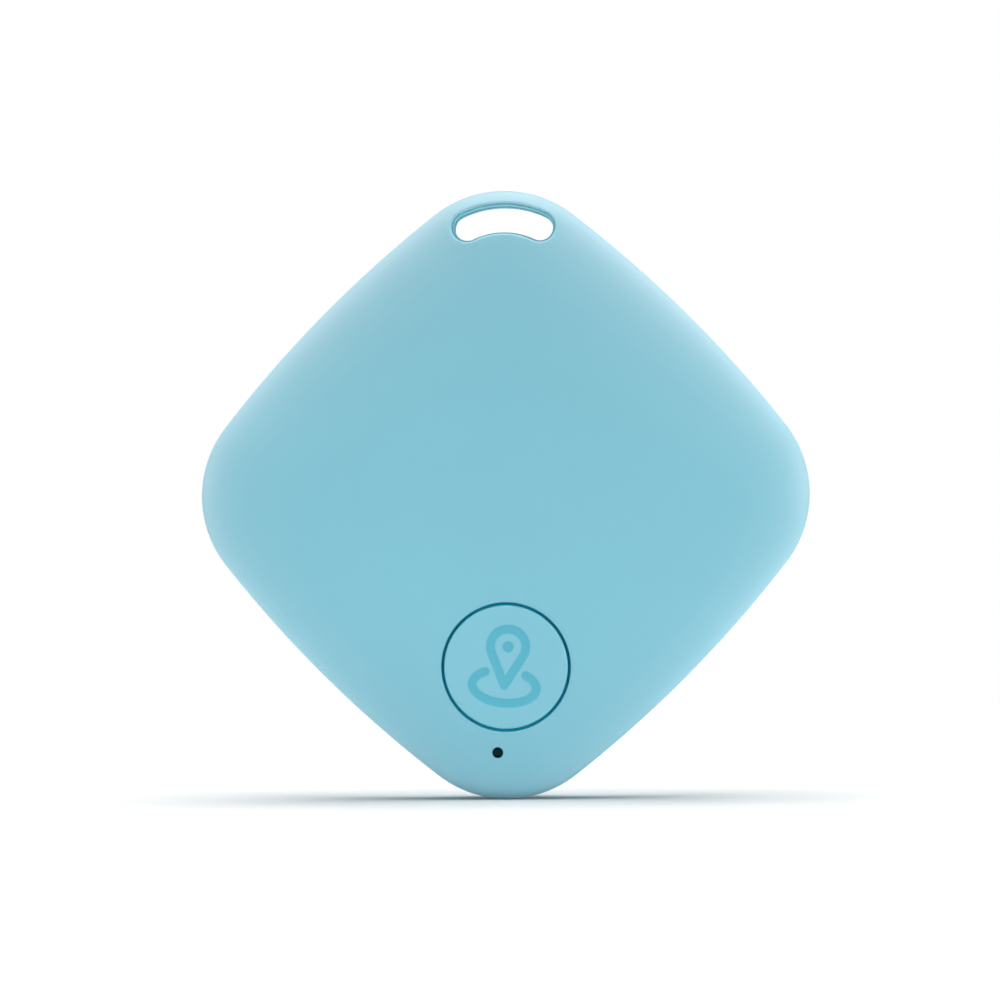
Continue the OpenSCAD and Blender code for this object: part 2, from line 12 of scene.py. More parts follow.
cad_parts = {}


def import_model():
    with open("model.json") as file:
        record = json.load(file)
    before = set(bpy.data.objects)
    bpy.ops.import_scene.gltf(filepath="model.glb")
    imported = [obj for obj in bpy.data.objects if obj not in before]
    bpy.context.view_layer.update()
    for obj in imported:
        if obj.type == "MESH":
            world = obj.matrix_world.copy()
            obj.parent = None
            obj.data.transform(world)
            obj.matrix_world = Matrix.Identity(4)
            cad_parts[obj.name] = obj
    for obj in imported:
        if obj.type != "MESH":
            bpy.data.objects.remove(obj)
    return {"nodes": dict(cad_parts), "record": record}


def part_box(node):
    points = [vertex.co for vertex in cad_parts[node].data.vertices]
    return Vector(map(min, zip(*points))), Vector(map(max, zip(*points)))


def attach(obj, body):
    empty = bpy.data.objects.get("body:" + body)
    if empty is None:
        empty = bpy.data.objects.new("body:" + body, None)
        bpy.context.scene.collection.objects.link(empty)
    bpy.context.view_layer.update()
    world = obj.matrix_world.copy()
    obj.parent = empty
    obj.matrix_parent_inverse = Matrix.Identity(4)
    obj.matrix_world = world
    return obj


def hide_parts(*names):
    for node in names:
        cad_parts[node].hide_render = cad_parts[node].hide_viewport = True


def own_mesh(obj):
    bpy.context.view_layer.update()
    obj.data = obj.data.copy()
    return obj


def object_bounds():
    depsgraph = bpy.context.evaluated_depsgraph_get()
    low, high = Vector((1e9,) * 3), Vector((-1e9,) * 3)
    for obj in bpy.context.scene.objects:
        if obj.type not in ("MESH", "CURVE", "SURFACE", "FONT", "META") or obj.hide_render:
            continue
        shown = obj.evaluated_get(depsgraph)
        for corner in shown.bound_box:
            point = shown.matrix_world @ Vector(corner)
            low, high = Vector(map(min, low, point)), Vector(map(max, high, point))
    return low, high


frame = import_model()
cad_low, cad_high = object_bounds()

MM = 0.001

# ---- sizes of the tag, in mm about the middle of the case: x right, y up, z to the front ----

MIDDLE_X = (cad_low.x + cad_high.x) / 2 / MM
MIDDLE_Y = (cad_low.z + cad_high.z) / 2 / MM
TIP = (cad_high.x - cad_low.x) / 2 / MM
FACE_Z = -cad_low.y / MM
BACK_Z = -cad_high.y / MM


def cad_box(node):
    """Lowest and highest corner of a CAD node, in mm about the middle of the case."""
    low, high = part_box(node)
    return (
        np.array([low.x / MM - MIDDLE_X, low.z / MM - MIDDLE_Y, -high.y / MM]),
        np.array([high.x / MM - MIDDLE_X, high.z / MM - MIDDLE_Y, -low.y / MM]),
    )


def cad_middle(node):
    low, high = cad_box(node)
    return (low + high) / 2


PART_Z = cad_box("front_cover")[0][2]
BOARD_BACK = cad_box("circuit_board")[0][2]
BOARD_FRONT = cad_box("circuit_board")[1][2]
BUTTON_X, BUTTON_Y, _ = cad_middle("switch_base")
PORT_X, PORT_Y, _ = cad_middle("status_led")

# Case outline: rounded corners joined by bowed sides
CORNER_R = 7.9
SIDE_R = 85.4
CORNER_C = TIP - CORNER_R
SIDE_C = CORNER_C / 2 - math.sqrt(((SIDE_R - CORNER_R) ** 2 - CORNER_C**2 / 2) / 2)
CORNER_A = 45 - math.degrees(math.asin(CORNER_C / math.sqrt(2) / (SIDE_R - CORNER_R)))
RIM_STEPS = (28, 52)

# Front and rear faces
SEAM = 0.12
SEAM_IN = 0.16
FRONT_ROUND = 8.4
FRONT_POWER = 2.3
FRONT_RISE = FACE_Z - PART_Z - SEAM
REAR_SHOULDER = PART_Z - 0.6
REAR_ROUND = 5.6
REAR_POWER = 2.2
REAR_RISE = REAR_SHOULDER - BACK_Z
RIM_IN = 0.45

# Inside of the case
SIDE_WALL = 1.2
CEILING_Z = FACE_Z - 1.1
FRONT_BAY_SHOULDER = PART_Z + 0.8
FRONT_BAY_ROUND = 2.9
TONGUE_IN = 1.3
TONGUE_T = 0.8
TONGUE_H = 0.7
REAR_BAY_IN = TONGUE_IN + TONGUE_T
REAR_BAY_SHOULDER = PART_Z - 1.8
REAR_BAY_ROUND = 3.4
FLOOR_Z = BACK_Z + 0.9
NOTCH = (5.0, 0.5, 0.8)

# Key-ring slot
SLOT_W = 2.2
SLOT_R = -MIDDLE_Y - CORNER_C
SLOT_HALF = 25.8
SLOT_END = (SLOT_R * math.sin(math.radians(SLOT_HALF)), CORNER_C + SLOT_R * math.cos(math.radians(SLOT_HALF)))
SLOT_FILLET = 0.3
SLOT_LIP = 0.16
SLOT_LEDGE = 0.18
SLOT_MOAT = (0.05, 0.12)
BAY_TOP = SLOT_END[1] - SLOT_W / 2 - 1.2

# Bosses for the screws, and the sounder's seat
BOSS_R = 1.6
PILOT_R = 0.72
SEAT_RS = (6.5, 5.7)

# Button and small hole
BUTTON_HOLE_R = 4.55
BUTTON_R = 4.35
FLANGE_R = 5.05
FLANGE_Z = CEILING_Z - 0.45
STEM_SEAT_R = 1.0
HOLE_FILLET = 0.14
CAP_FILLET = 0.16
CAP_DISH = 0.06
BUTTON_TILT = -6.0
PORT_R = 0.385
PORT_FILLET = 0.08


# ---- shapes in the plane of the case ----


def arc(cx, cy, r, start, end, steps):
    """Points along an arc, in degrees, without its last point."""
    a = np.radians(start + (end - start) * np.arange(steps) / steps)
    return np.column_stack([cx + r * np.cos(a), cy + r * np.sin(a)])


def circle(cx, cy, r, steps):
    return arc(cx, cy, r, 0, 360, steps)


def rounded_rect(width, height, r, steps=4):
    """Outline of a rectangle with round corners, about its middle."""
    w, h = width / 2 - r, height / 2 - r
    corners = [(w, h, 0), (-w, h, 90), (-w, -h, 180), (w, -h, 270)]
    end = 90 * (steps + 1) / steps
    return np.vstack([arc(cx, cy, r, start, start + end, steps + 1) for cx, cy, start in corners])


def away(points, x=0.0, y=0.0):
    """Distance of points from a place."""
    return np.hypot(points[:, 0] - x, points[:, 1] - y)


def outline(d, steps=RIM_STEPS):
    """The case outline, inset by d."""
    quarter = np.vstack([
        arc(CORNER_C, 0, CORNER_R - d, -CORNER_A, CORNER_A, steps[0]),
        arc(SIDE_C, SIDE_C, SIDE_R - d, CORNER_A, 90 - CORNER_A, steps[1]),
    ])
    x, y = quarter.T
    return np.vstack([quarter, np.column_stack([-y, x]), -quarter, np.column_stack([y, -x])])


def spaced_outline(d, gap):
    """The case outline, inset by d, with points about gap apart."""
    corner = max(2, round((CORNER_R - d) * math.radians(2 * CORNER_A) / gap))
    side = max(2, round((SIDE_R - d) * math.radians(90 - 2 * CORNER_A) / gap))
    return outline(d, (corner, side))


def inset(x, y):
    """How far inside the case outline a point is."""
    u = np.maximum(np.abs(x), np.abs(y))
    v = np.minimum(np.abs(x), np.abs(y))
    corner = CORNER_R - np.hypot(u - CORNER_C, v)
    side = SIDE_R - np.hypot(u - SIDE_C, v - SIDE_C)
    return np.where(np.arctan2(v, u - CORNER_C) <= math.radians(CORNER_A), corner, side)


def slot_ring(d, steps=(22, 18)):
    """The slot's outline, grown by d."""
    half, r = SLOT_HALF, SLOT_W / 2 + d
    inner = arc(0, CORNER_C, SLOT_R - r, 90 + half, 90 - half, steps[0])
    return np.vstack([
        arc(0, CORNER_C, SLOT_R + r, 90 - half, 90 + half, steps[0]),
        arc(-SLOT_END[0], SLOT_END[1], r, 90 + half, 270 + half, steps[1]),
        inner,
        arc(SLOT_END[0], SLOT_END[1], r, 270 - half, 450 - half, steps[1]),
    ])


def slot_gap(x, y):
    """Distance outside the slot's edge."""
    bend = np.degrees(np.arctan2(x, y - CORNER_C))
    mid = np.abs(np.hypot(x, y - CORNER_C) - SLOT_R)
    end = np.hypot(np.abs(x) - SLOT_END[0], y - SLOT_END[1])
    return np.where(np.abs(bend) <= SLOT_HALF, mid, end) - SLOT_W / 2


def cut_top(loop, limit, gap=0.4):
    """A loop with its top cut off at a height, and even points along the cut."""
    low = loop[:, 1] < limit
    start = int(np.argmax(low & ~np.roll(low, 1)))
    loop = np.roll(loop, -start, axis=0)
    run = loop[: int(low.sum())]

    def crossing(a, b):
        return a + (b - a) * (limit - a[1]) / (b[1] - a[1])

    right = crossing(run[-1], loop[len(run)])
    left = crossing(run[0], loop[-1])
    steps = max(2, round(float(np.linalg.norm(right - left)) / gap))
    cut = [right + (left - right) * k / steps for k in range(steps + 1)]
    return np.vstack([run, cut])


def inside(loop, x, y):
    """Whether points lie inside a loop."""
    ax, ay = loop.T
    bx, by = np.roll(loop, -1, axis=0).T
    x, y = np.asarray(x)[:, None], np.asarray(y)[:, None]
    spans = (ay > y) != (by > y)
    rise = np.where(by == ay, 1, by - ay)
    return (spans & (x < ax + (y - ay) * (bx - ax) / rise)).sum(axis=1) % 2 == 1


def grid(gap, reach):
    """Points of an even triangular grid, within reach of the middle."""
    rows = int(reach / gap / 0.866) + 1
    columns = int(reach / gap) + 1
    return np.array([
        (gap * (i + 0.5 * (j % 2)), gap * 0.866 * j)
        for j in range(-rows, rows + 1)
        for i in range(-columns, columns + 1)
    ])


def drawn_to(points, gap, reach, edge=0.045):
    """Points moved onto the two sides of the edges that a gap function draws."""
    x, y = points.T
    e = 0.01
    g = gap(x, y)
    gx = (gap(x + e, y) - gap(x - e, y)) / (2 * e)
    gy = (gap(x, y + e) - gap(x, y - e)) / (2 * e)
    steep = np.maximum(np.hypot(gx, gy), 0.3)
    shift = np.where(np.abs(g) < reach, np.where(g > 0, edge, -edge) - g, 0)
    return np.column_stack([x + shift * gx / steep, y + shift * gy / steep])


def swell(x, y, wall, width, power):
    """How far a domed face has risen at a point, from 0 at its wall to 1 past its width."""
    u = np.clip((inset(x, y) - wall) / width, 0, 1)
    return np.sqrt(1 - (1 - u) ** power)


def front_z(x, y):
    """Height of the front face."""
    return PART_Z + SEAM + FRONT_RISE * swell(x, y, 0, FRONT_ROUND, FRONT_POWER)


def rear_z(x, y):
    """Height of the rear face."""
    return REAR_SHOULDER - REAR_RISE * swell(x, y, 0, REAR_ROUND, REAR_POWER)


def front_bay_z(x, y):
    """Height of the ceiling inside the front cover, whose edge is a quarter round."""
    rise = CEILING_Z - FRONT_BAY_SHOULDER
    return FRONT_BAY_SHOULDER + rise * swell(x, y, SIDE_WALL, FRONT_BAY_ROUND, 2)


def rear_bay_z(x, y):
    """Height of the floor inside the rear cover, whose edge is a quarter round."""
    rise = FLOOR_Z - REAR_BAY_SHOULDER
    return REAR_BAY_SHOULDER + rise * swell(x, y, REAR_BAY_IN, REAR_BAY_ROUND, 2)


def lifted(loop, z):
    """A flat loop at a height, or at the height that a function gives."""
    z = z(*loop.T) if callable(z) else np.full(len(loop), float(z))
    return np.column_stack([loop, z])


def turned(profile, steps, at=(0, 0)):
    """Rings of a turned shape, from pairs of radius and height."""
    return [lifted(circle(*at, r, steps), z) for r, z in profile]


def face_points(gap_at, steps, reach):
    """Points for a domed face: rings that follow the rim, then an even grid."""
    rings = [spaced_outline(d, gap_at(d)) for d in steps]
    last = steps[-1]
    even = grid(gap_at(last), reach)
    even = even[inset(*even.T) > last + 0.6 * gap_at(last)]
    return np.vstack(rings + [even])


# ---- pieces ----


def shown(name, data):
    """A new object in the scene."""
    made = bpy.data.objects.new(name, data)
    bpy.context.scene.collection.objects.link(made)
    return made


class Skin:
    """Gathers the skins of a piece, in mm about the middle of the case, and makes its mesh."""

    def __init__(self):
        self.points = []
        self.faces = []
        self.zones = []
        self.zone = 0
        self.frame = None

    def stand(self, x, y, turn, z, way):
        """What is added next is drawn about (x, y), turned, and rises from z, forwards or backwards."""
        self.frame = (x, y, math.cos(turn), math.sin(turn), z, way)

    def add(self, points, faces):
        first = len(self.points)
        if self.frame:
            x, y, c, s, z, way = self.frame
            points = [(x + a * c - b * s, y + a * s + b * c, z + way * h) for a, b, h in points]
        self.points += [tuple(float(c) for c in p) for p in points]
        self.faces += [[first + int(i) for i in f] for f in faces]
        self.zones += [self.zone] * len(faces)

    def band(self, *rings):
        """Walls between rings that have the same number of points."""
        n = len(rings[0])
        quads = []
        for k in range(len(rings) - 1):
            for i in range(n):
                j = (i + 1) % n
                quads.append((k * n + i, k * n + j, (k + 1) * n + j, (k + 1) * n + i))
        self.add(np.vstack(rings), quads)

    def cap(self, ring):
        self.add(ring, [range(len(ring))])

    def tube(self, *rings):
        """A closed body through rings that have the same number of points."""
        self.band(*rings)
        self.cap(rings[0])
        self.cap(rings[-1])

    def brick(self, width, height, low, high, r=0.06, bevel=0.05, at=(0, 0)):
        """A block with rounded corners and a bevelled top."""
        full = rounded_rect(width, height, r) + at
        top = rounded_rect(width - 2 * bevel, height - 2 * bevel, max(r - bevel, 0.01)) + at
        self.tube(lifted(full, low), lifted(full, high - bevel), lifted(top, high))

    def pair(self, width, height, low, high, r, bevel, x):
        """Two bricks, one at each side of the middle."""
        for side in (-1, 1):
            self.brick(width, height, low, high, r, bevel, (side * x, 0))

    def turned_body(self, profile, at=(0, 0), steps=48):
        """A closed body of revolution, from pairs of radius and height. Both ends are capped."""
        self.tube(*turned(profile, steps, at))

    def ribbon(self, path, across, width, thick):
        """A flat strip along a path, which is as wide as width along the across direction."""
        path = np.array(path, float)
        across = np.array(across, float)
        rings = []
        for i, p in enumerate(path):
            way = path[min(i + 1, len(path) - 1)] - path[max(i - 1, 0)]
            up = np.cross(way, across)
            up *= thick / 2 / np.linalg.norm(up)
            side = across * width / 2
            rings.append(np.array([p - side - up, p + side - up, p + side + up, p - side + up]))
        self.tube(*rings)

    def sheet(self, z, edge, holes=(), points=None):
        """A sheet inside an edge and outside the holes. The points shape it between them."""
        loops = [edge, *holes]
        flat = [tuple(p) for loop in loops for p in loop]
        edges = []
        start = 0
        for loop in loops:
            n = len(loop)
            edges += [(start + i, start + (i + 1) % n) for i in range(n)]
            start += n
        if points is not None:
            keep = inside(edge, *points.T)
            for hole in holes:
                keep &= ~inside(hole, *points.T)
            flat += [tuple(p) for p in points[keep]]
        made = delaunay_2d_cdt([Vector(p) for p in flat], edges, [], 0, 1e-6)
        corners = np.array([flat[origin[0]] if origin else tuple(v) for v, origin in zip(made[0], made[3])])
        faces = np.array([list(f) for f in made[2]])
        middle = corners[faces].mean(axis=1)
        keep = inside(edge, *middle.T)
        for hole in holes:
            keep &= ~inside(hole, *middle.T)
        self.add(lifted(corners, z), faces[keep])

    def build(self, name, body, slot, node, others=(), attributes=(), sharp=38):
        """Makes the piece that replaces a CAD node. Zone 0 has the slot's finish, and the others follow."""
        world = [((x + MIDDLE_X) * MM, -z * MM, (y + MIDDLE_Y) * MM) for x, y, z in self.points]
        mesh = bpy.data.meshes.new(name)
        mesh.from_pydata(world, [], self.faces)
        mesh.polygons.foreach_set("material_index", self.zones)
        shape = bmesh.new()
        shape.from_mesh(mesh)
        bmesh.ops.remove_doubles(shape, verts=shape.verts, dist=2e-7)
        bmesh.ops.dissolve_degenerate(shape, dist=1e-8, edges=shape.edges)
        bmesh.ops.recalc_face_normals(shape, faces=shape.faces)
        shape.to_mesh(mesh)
        shape.free()
        mesh.shade_smooth()
        mesh.set_sharp_from_angle(angle=math.radians(sharp))
        local = np.array([v.co for v in mesh.vertices]) / MM
        x, y, z = local[:, 0] - MIDDLE_X, local[:, 2] - MIDDLE_Y, -local[:, 1]
        for label, values in attributes:
            layer = mesh.attributes.new(label, "FLOAT", "POINT")
            layer.data.foreach_set("value", values(x, y, z).astype(np.float32))
        piece = shown(name, mesh)
        for finish in (slot, *others):
            mesh.materials.append(finish_of[finish])
        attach(piece, body)
        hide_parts(node)
        return piece


def fillet_rings(ring_at, r, z, way, steps=5):
    """Rings of the rounded edge of a hole, from the face into the hole."""
    rings = []
    for a in np.linspace(0, math.pi / 2, steps + 1):
        loop = ring_at(r * (1 - math.sin(a)))
        height = z(*loop.T) - way * r * (1 - math.cos(a))
        rings.append(np.column_stack([loop, height]))
    return rings


# ---- finishes ----


class Value:
    """A socket of a finish. Arithmetic on it adds Math nodes."""

    def __init__(self, finish, socket):
        self.finish = finish
        self.socket = socket

    def math(self, operation, *terms):
        return self.finish.node("ShaderNodeMath", {"operation": operation}, dict(enumerate(terms)))

    def __add__(self, other):
        return self.math("ADD", self, other)

    def __sub__(self, other):
        return self.math("SUBTRACT", self, other)

    def __rsub__(self, other):
        return self.math("SUBTRACT", other, self)

    def __mul__(self, other):
        return self.math("MULTIPLY", self, other)

    def __abs__(self):
        return self.math("ABSOLUTE", self)

    __radd__ = __add__
    __rmul__ = __mul__


class Finish:
    """A finish made of nodes round one Principled shader. Lengths in it are in mm."""

    def __init__(self, name, **constants):
        self.material = bpy.data.materials.new(name)
        self.material.use_nodes = True
        self.tree = self.material.node_tree
        self.tree.nodes.clear()
        self.shader = self.tree.nodes.new("ShaderNodeBsdfPrincipled")
        output = self.tree.nodes.new("ShaderNodeOutputMaterial")
        self.tree.links.new(self.shader.outputs["BSDF"], output.inputs["Surface"])
        for socket, value in constants.items():
            self.shader.inputs[socket.replace("_", " ")].default_value = value
        at = self.node("ShaderNodeTexCoord", output="Object")
        self.place = self.node("ShaderNodeVectorMath", {"operation": "SCALE"}, {0: at, "Scale": 1 / MM})

    def node(self, kind, settings=None, inputs=None, output=0):
        made = self.tree.nodes.new(kind)
        for name, value in (settings or {}).items():
            setattr(made, name, value)
        for name, value in (inputs or {}).items():
            if isinstance(value, Value):
                self.tree.links.new(value.socket, made.inputs[name])
            else:
                made.inputs[name].default_value = value
        return Value(self, made.outputs[output])

    def drive(self, **sockets):
        for name, value in sockets.items():
            self.tree.links.new(value.socket, self.shader.inputs[name.replace("_", " ")])
        return self.material

    def noise(self, scale, detail=3, roughness=0.6, at=None):
        inputs = {"Vector": at or self.place, "Scale": scale, "Detail": detail, "Roughness": roughness}
        return self.node("ShaderNodeTexNoise", None, inputs)

    def cells(self, scale, feature="F1", at=None, output="Distance"):
        inputs = {"Vector": at or self.place, "Scale": scale}
        return self.node("ShaderNodeTexVoronoi", {"feature": feature}, inputs, output)

    def stretched(self, x, y, z):
        return self.node("ShaderNodeVectorMath", {"operation": "MULTIPLY"}, {0: self.place, 1: (x, y, z)})

    def part(self, axis):
        return self.node("ShaderNodeSeparateXYZ", None, {0: self.place}, axis)

    def attribute(self, name):
        return self.node("ShaderNodeAttribute", {"attribute_name": name}, None, "Fac")

    def ramp(self, value, low, high, start=0.0, end=1.0):
        inputs = {"Value": value, "From Min": low, "From Max": high, "To Min": start, "To Max": end}
        return self.node("ShaderNodeMapRange", {"interpolation_type": "SMOOTHSTEP"}, inputs)

    def mix(self, factor, a, b):
        """Colour a, turning to b as the factor goes from 0 to 1."""
        return self.node("ShaderNodeMix", {"data_type": "RGBA"}, {0: factor, 6: a, 7: b}, 2)

    def edges(self, width):
        """1 along sharp edges and 0 on flat faces."""
        soft = self.node("ShaderNodeBevel", {"samples": 4}, {"Radius": width * MM})
        plain = self.node("ShaderNodeNewGeometry", output="Normal")
        turn = self.node("ShaderNodeVectorMath", {"operation": "DOT_PRODUCT"}, {0: soft, 1: plain}, "Value")
        return self.ramp(turn, 0.99, 0.8)

    def bump(self, height, depth, strength=1.0, normal=None):
        inputs = {"Height": height, "Distance": depth * MM, "Strength": strength}
        if normal:
            inputs["Normal"] = normal
        return self.node("ShaderNodeBump", None, inputs, "Normal")


def colour(r, g, b):
    return (r, g, b, 1.0)


def shade(base, factor):
    return tuple(c * factor for c in base[:3]) + (1.0,)


def case_plastic(name, base, mark=None):
    """Soft-touch moulded plastic with a fine spark grain, and a painted highlight along its rims. The mark,
    if any, is sunk and darker.
    """
    f = Finish(name, Specular_IOR_Level=0.35, Sheen_Weight=0.3, Sheen_Roughness=0.45, IOR=1.46)
    f.shader.inputs["Sheen Tint"].default_value = colour(0.86, 0.96, 1.0)
    grain = f.noise(9, 2, 0.55)
    drift = f.noise(0.11, 3, 0.5)
    handled = f.ramp(f.noise(0.35, 4, 0.6), 0.45, 0.7)
    worn = f.attribute("edge") * f.ramp(f.noise(1.1, 4, 0.65), 0.35, 0.7)
    body = f.mix(drift, shade(base, 0.975), shade(base, 1.025))
    body = f.mix(grain * 0.08, body, shade(base, 0.8))
    # Painted highlight: the rims turn towards a pale white where sheen and the lamps above would light them
    body = f.mix(f.attribute("pale"), body, PAINTED_SHEEN_WHITE)
    body = f.mix(worn * 0.35, body, shade(base, 1.35))
    rough = 0.5 + grain * 0.06 - handled * 0.05 - worn * 0.08
    if mark:
        sunk = f.attribute("mark")
        body = f.mix(sunk, body, mark)
        rough = rough - sunk * 0.18
    return f.drive(Base_Color=body, Roughness=rough, Normal=f.bump(grain, 0.006, 0.5))


def painted_glow_wall(name, base):
    """The same plastic on the walls of narrow gaps and the slot, with little gloss. Its colour, given by the
    caller, is painted light that stands in for light bounced round inside the gaps and the slot.
    """
    f = Finish(name, Specular_IOR_Level=0.1, IOR=1.46)
    spark = f.noise(8, 3, 0.6)
    return f.drive(
        Base_Color=f.mix(f.noise(0.8, 3, 0.5), shade(base, 0.94), shade(base, 1.04)),
        Roughness=0.6 + spark * 0.1,
        Normal=f.bump(spark, 0.006, 0.5),
    )


def moulded(name, base, rough=0.5, grain=8, depth=0.008, edge_gain=1.5):
    """Plain moulded plastic: spark grain, flow marks, and sharp edges that are lighter and smoother."""
    f = Finish(name, IOR=1.46)
    spark = f.noise(grain, 3, 0.6)
    flow = f.noise(0.6, 4, 0.5, f.stretched(1, 1, 0.25))
    edge_lift = f.edges(0.08) * f.ramp(f.noise(3, 3, 0.6), 0.35, 0.7)
    body = f.mix(flow, shade(base, 0.88), shade(base, 1.12))
    body = f.mix(edge_lift * 0.6, body, shade(base, 1 + edge_gain))
    return f.drive(
        Base_Color=body,
        Roughness=rough + spark * 0.14 - edge_lift * 0.15,
        Normal=f.bump(spark, depth, 0.6),
    )


def metal(name, base, rough=0.32, lines=(1, 1, 12), depth=0.004, dull=0.7):
    """Rolled or plated metal: fine drawn lines, dull patches and bright edges."""
    f = Finish(name, Metallic=1.0)
    drawn = f.noise(5, 4, 0.7, f.stretched(*lines))
    patch = f.noise(0.7, 4, 0.6)
    bright = f.edges(0.06)
    body = f.mix(f.ramp(patch, 0.35, 0.7), base, shade(base, dull))
    body = f.mix(bright * 0.5, body, shade(base, 1.15))
    return f.drive(
        Base_Color=body,
        Roughness=rough + drawn * 0.16 + patch * 0.1 - bright * 0.1,
        Normal=f.bump(drawn, depth, 0.5),
    )


def board_finish():
    """Green solder mask over copper tracks, with bare vias whose bores are painted shade, and a woven edge.
    """
    f = Finish("board", IOR=1.5, Coat_Roughness=0.2)
    tracks = None
    for axis, gap, shift in (("X", 1.1, 0.0), ("Z", 1.3, 7.4)):
        ways = f.part(axis) + shift
        saw = ways.math("FRACT", ways * (1 / gap))
        line = f.ramp(abs(saw - 0.5), 0.1, 0.07)
        moved = f.node("ShaderNodeVectorMath", {"operation": "ADD"}, {0: f.place, 1: (shift, 0, shift)})
        shown = f.ramp(f.cells(0.3, at=moved, output="Color"), 0.44, 0.46)
        line = line * shown
        tracks = line if tracks is None else tracks.math("MAXIMUM", tracks, line)
    ring = f.cells(0.42, at=f.stretched(1, 0, 1))
    pad = f.ramp(ring, 0.13, 0.11)
    bore = f.ramp(ring, 0.06, 0.045)
    weave = f.noise(2.2, 4, 0.6)
    mask = f.mix(weave * 0.5, colour(0.012, 0.105, 0.05), colour(0.02, 0.15, 0.075))
    mask = f.mix(tracks * 0.75, mask, colour(0.035, 0.235, 0.105))
    # Painted shade: the bores of the vias are near-black, where the holes would be in shade
    metal_mix = f.mix(bore, colour(0.72, 0.6, 0.32), colour(0.015, 0.012, 0.01))
    body = f.mix(pad, mask, metal_mix)
    normal = f.node("ShaderNodeNewGeometry", output="Normal")
    side = f.ramp(abs(f.node("ShaderNodeSeparateXYZ", None, {0: normal}, "Y")), 0.6, 0.4)
    layers = f.noise(7, 3, 0.7, f.stretched(0.3, 6, 0.3))
    body = f.mix(side, body, f.mix(layers, colour(0.28, 0.3, 0.13), colour(0.45, 0.44, 0.24)))
    raised = tracks * 0.6 + pad * 0.5 - bore * 1.5
    return f.drive(
        Base_Color=body,
        Metallic=pad * (1 - side) * 0.9,
        Roughness=0.34 + weave * 0.14 + side * 0.3,
        Normal=f.bump(raised + weave * 0.08, 0.03, 0.7),
    )


def foam(name, base):
    """Open-cell foam, with painted shade in the middle of its pores."""
    f = Finish(name, Sheen_Weight=0.25)
    pores = f.cells(5, "F1")
    fine = f.noise(12, 3, 0.6)
    # Painted shade: darker towards the middle of each pore
    body = f.mix(f.ramp(pores, 0.0, 0.7), shade(base, 0.45), shade(base, 1.2))
    return f.drive(
        Base_Color=body,
        Roughness=0.88 + fine * 0.08,
        Normal=f.bump(pores + fine * 0.3, 0.08, 0.8),
    )


def resin(name, base, rough=0.2, gloss=0.5):
    """Set resin, clear or smoked, with faint clouds in it."""
    f = Finish(name, IOR=1.5, Specular_IOR_Level=gloss)
    cloud = f.noise(1.4, 4, 0.6)
    return f.drive(
        Base_Color=f.mix(cloud, shade(base, 0.85), shade(base, 1.1)),
        Roughness=rough + cloud * 0.15,
        Normal=f.bump(cloud, 0.02, 0.4),
    )


CASE = colour(0.215, 0.555, 0.672)
# Colour of the painted highlight along the rims
PAINTED_SHEEN_WHITE = colour(0.46, 0.64, 0.72)
MARK = colour(0.08, 0.45, 0.585)

# Colour and roughness, then the size and depth of the grain, and how much lighter the sharp edges are
PLASTICS = {
    "holder_black": ((0.02, 0.021, 0.023), 0.42),
    "seal_nylon": ((0.6, 0.58, 0.52), 0.45, 8, 0.008, 0.2),
    "cell_pellet": ((0.05, 0.05, 0.052), 0.8, 6, 0.03, 0.4),
    "switch_black": ((0.022, 0.022, 0.024), 0.4),
    "buzzer_ceramic": ((0.7, 0.66, 0.58), 0.5, 10, 0.01, 0.1),
    "wire_red": ((0.5, 0.02, 0.015), 0.38, 8, 0.008, 0.4),
    "wire_black": ((0.014, 0.014, 0.015), 0.38),
    "chip_black": ((0.018, 0.018, 0.02), 0.55, 12, 0.01),
    "antenna_white": ((0.66, 0.63, 0.56), 0.4, 8, 0.008, 0.2),
    "driver_black": ((0.02, 0.02, 0.021), 0.5, 12, 0.01),
    "inductor_grey": ((0.05, 0.048, 0.05), 0.6),
    "capacitor_tan": ((0.34, 0.22, 0.11), 0.4, 8, 0.008, 0.4),
    "resistor_black": ((0.02, 0.021, 0.023), 0.35),
    "print_white": ((0.75, 0.76, 0.74), 0.6, 10, 0.004, 0.1),
    "ceramic_base": ((0.62, 0.6, 0.55), 0.5, 10, 0.004, 0.2),
}

# Colour and roughness, then the stretch and depth of the drawn lines
METALS = {
    "screw_steel": ((0.5, 0.5, 0.52), 0.28),
    "contact_metal": ((0.72, 0.66, 0.5), 0.25),
    "cell_steel": ((0.58, 0.59, 0.61), 0.24, (6, 6, 6)),
    "switch_steel": ((0.6, 0.61, 0.63), 0.26),
    "dome_metal": ((0.7, 0.66, 0.56), 0.2),
    "buzzer_brass": ((0.72, 0.5, 0.17), 0.3),
    "buzzer_silver": ((0.75, 0.75, 0.74), 0.42),
    "solder": ((0.62, 0.63, 0.64), 0.3, (1, 1, 1), 0.03),
    "solder_pad": ((0.78, 0.66, 0.4), 0.28),
    "crystal_can": ((0.66, 0.64, 0.58), 0.22),
    "clock_can": ((0.74, 0.62, 0.34), 0.26),
}

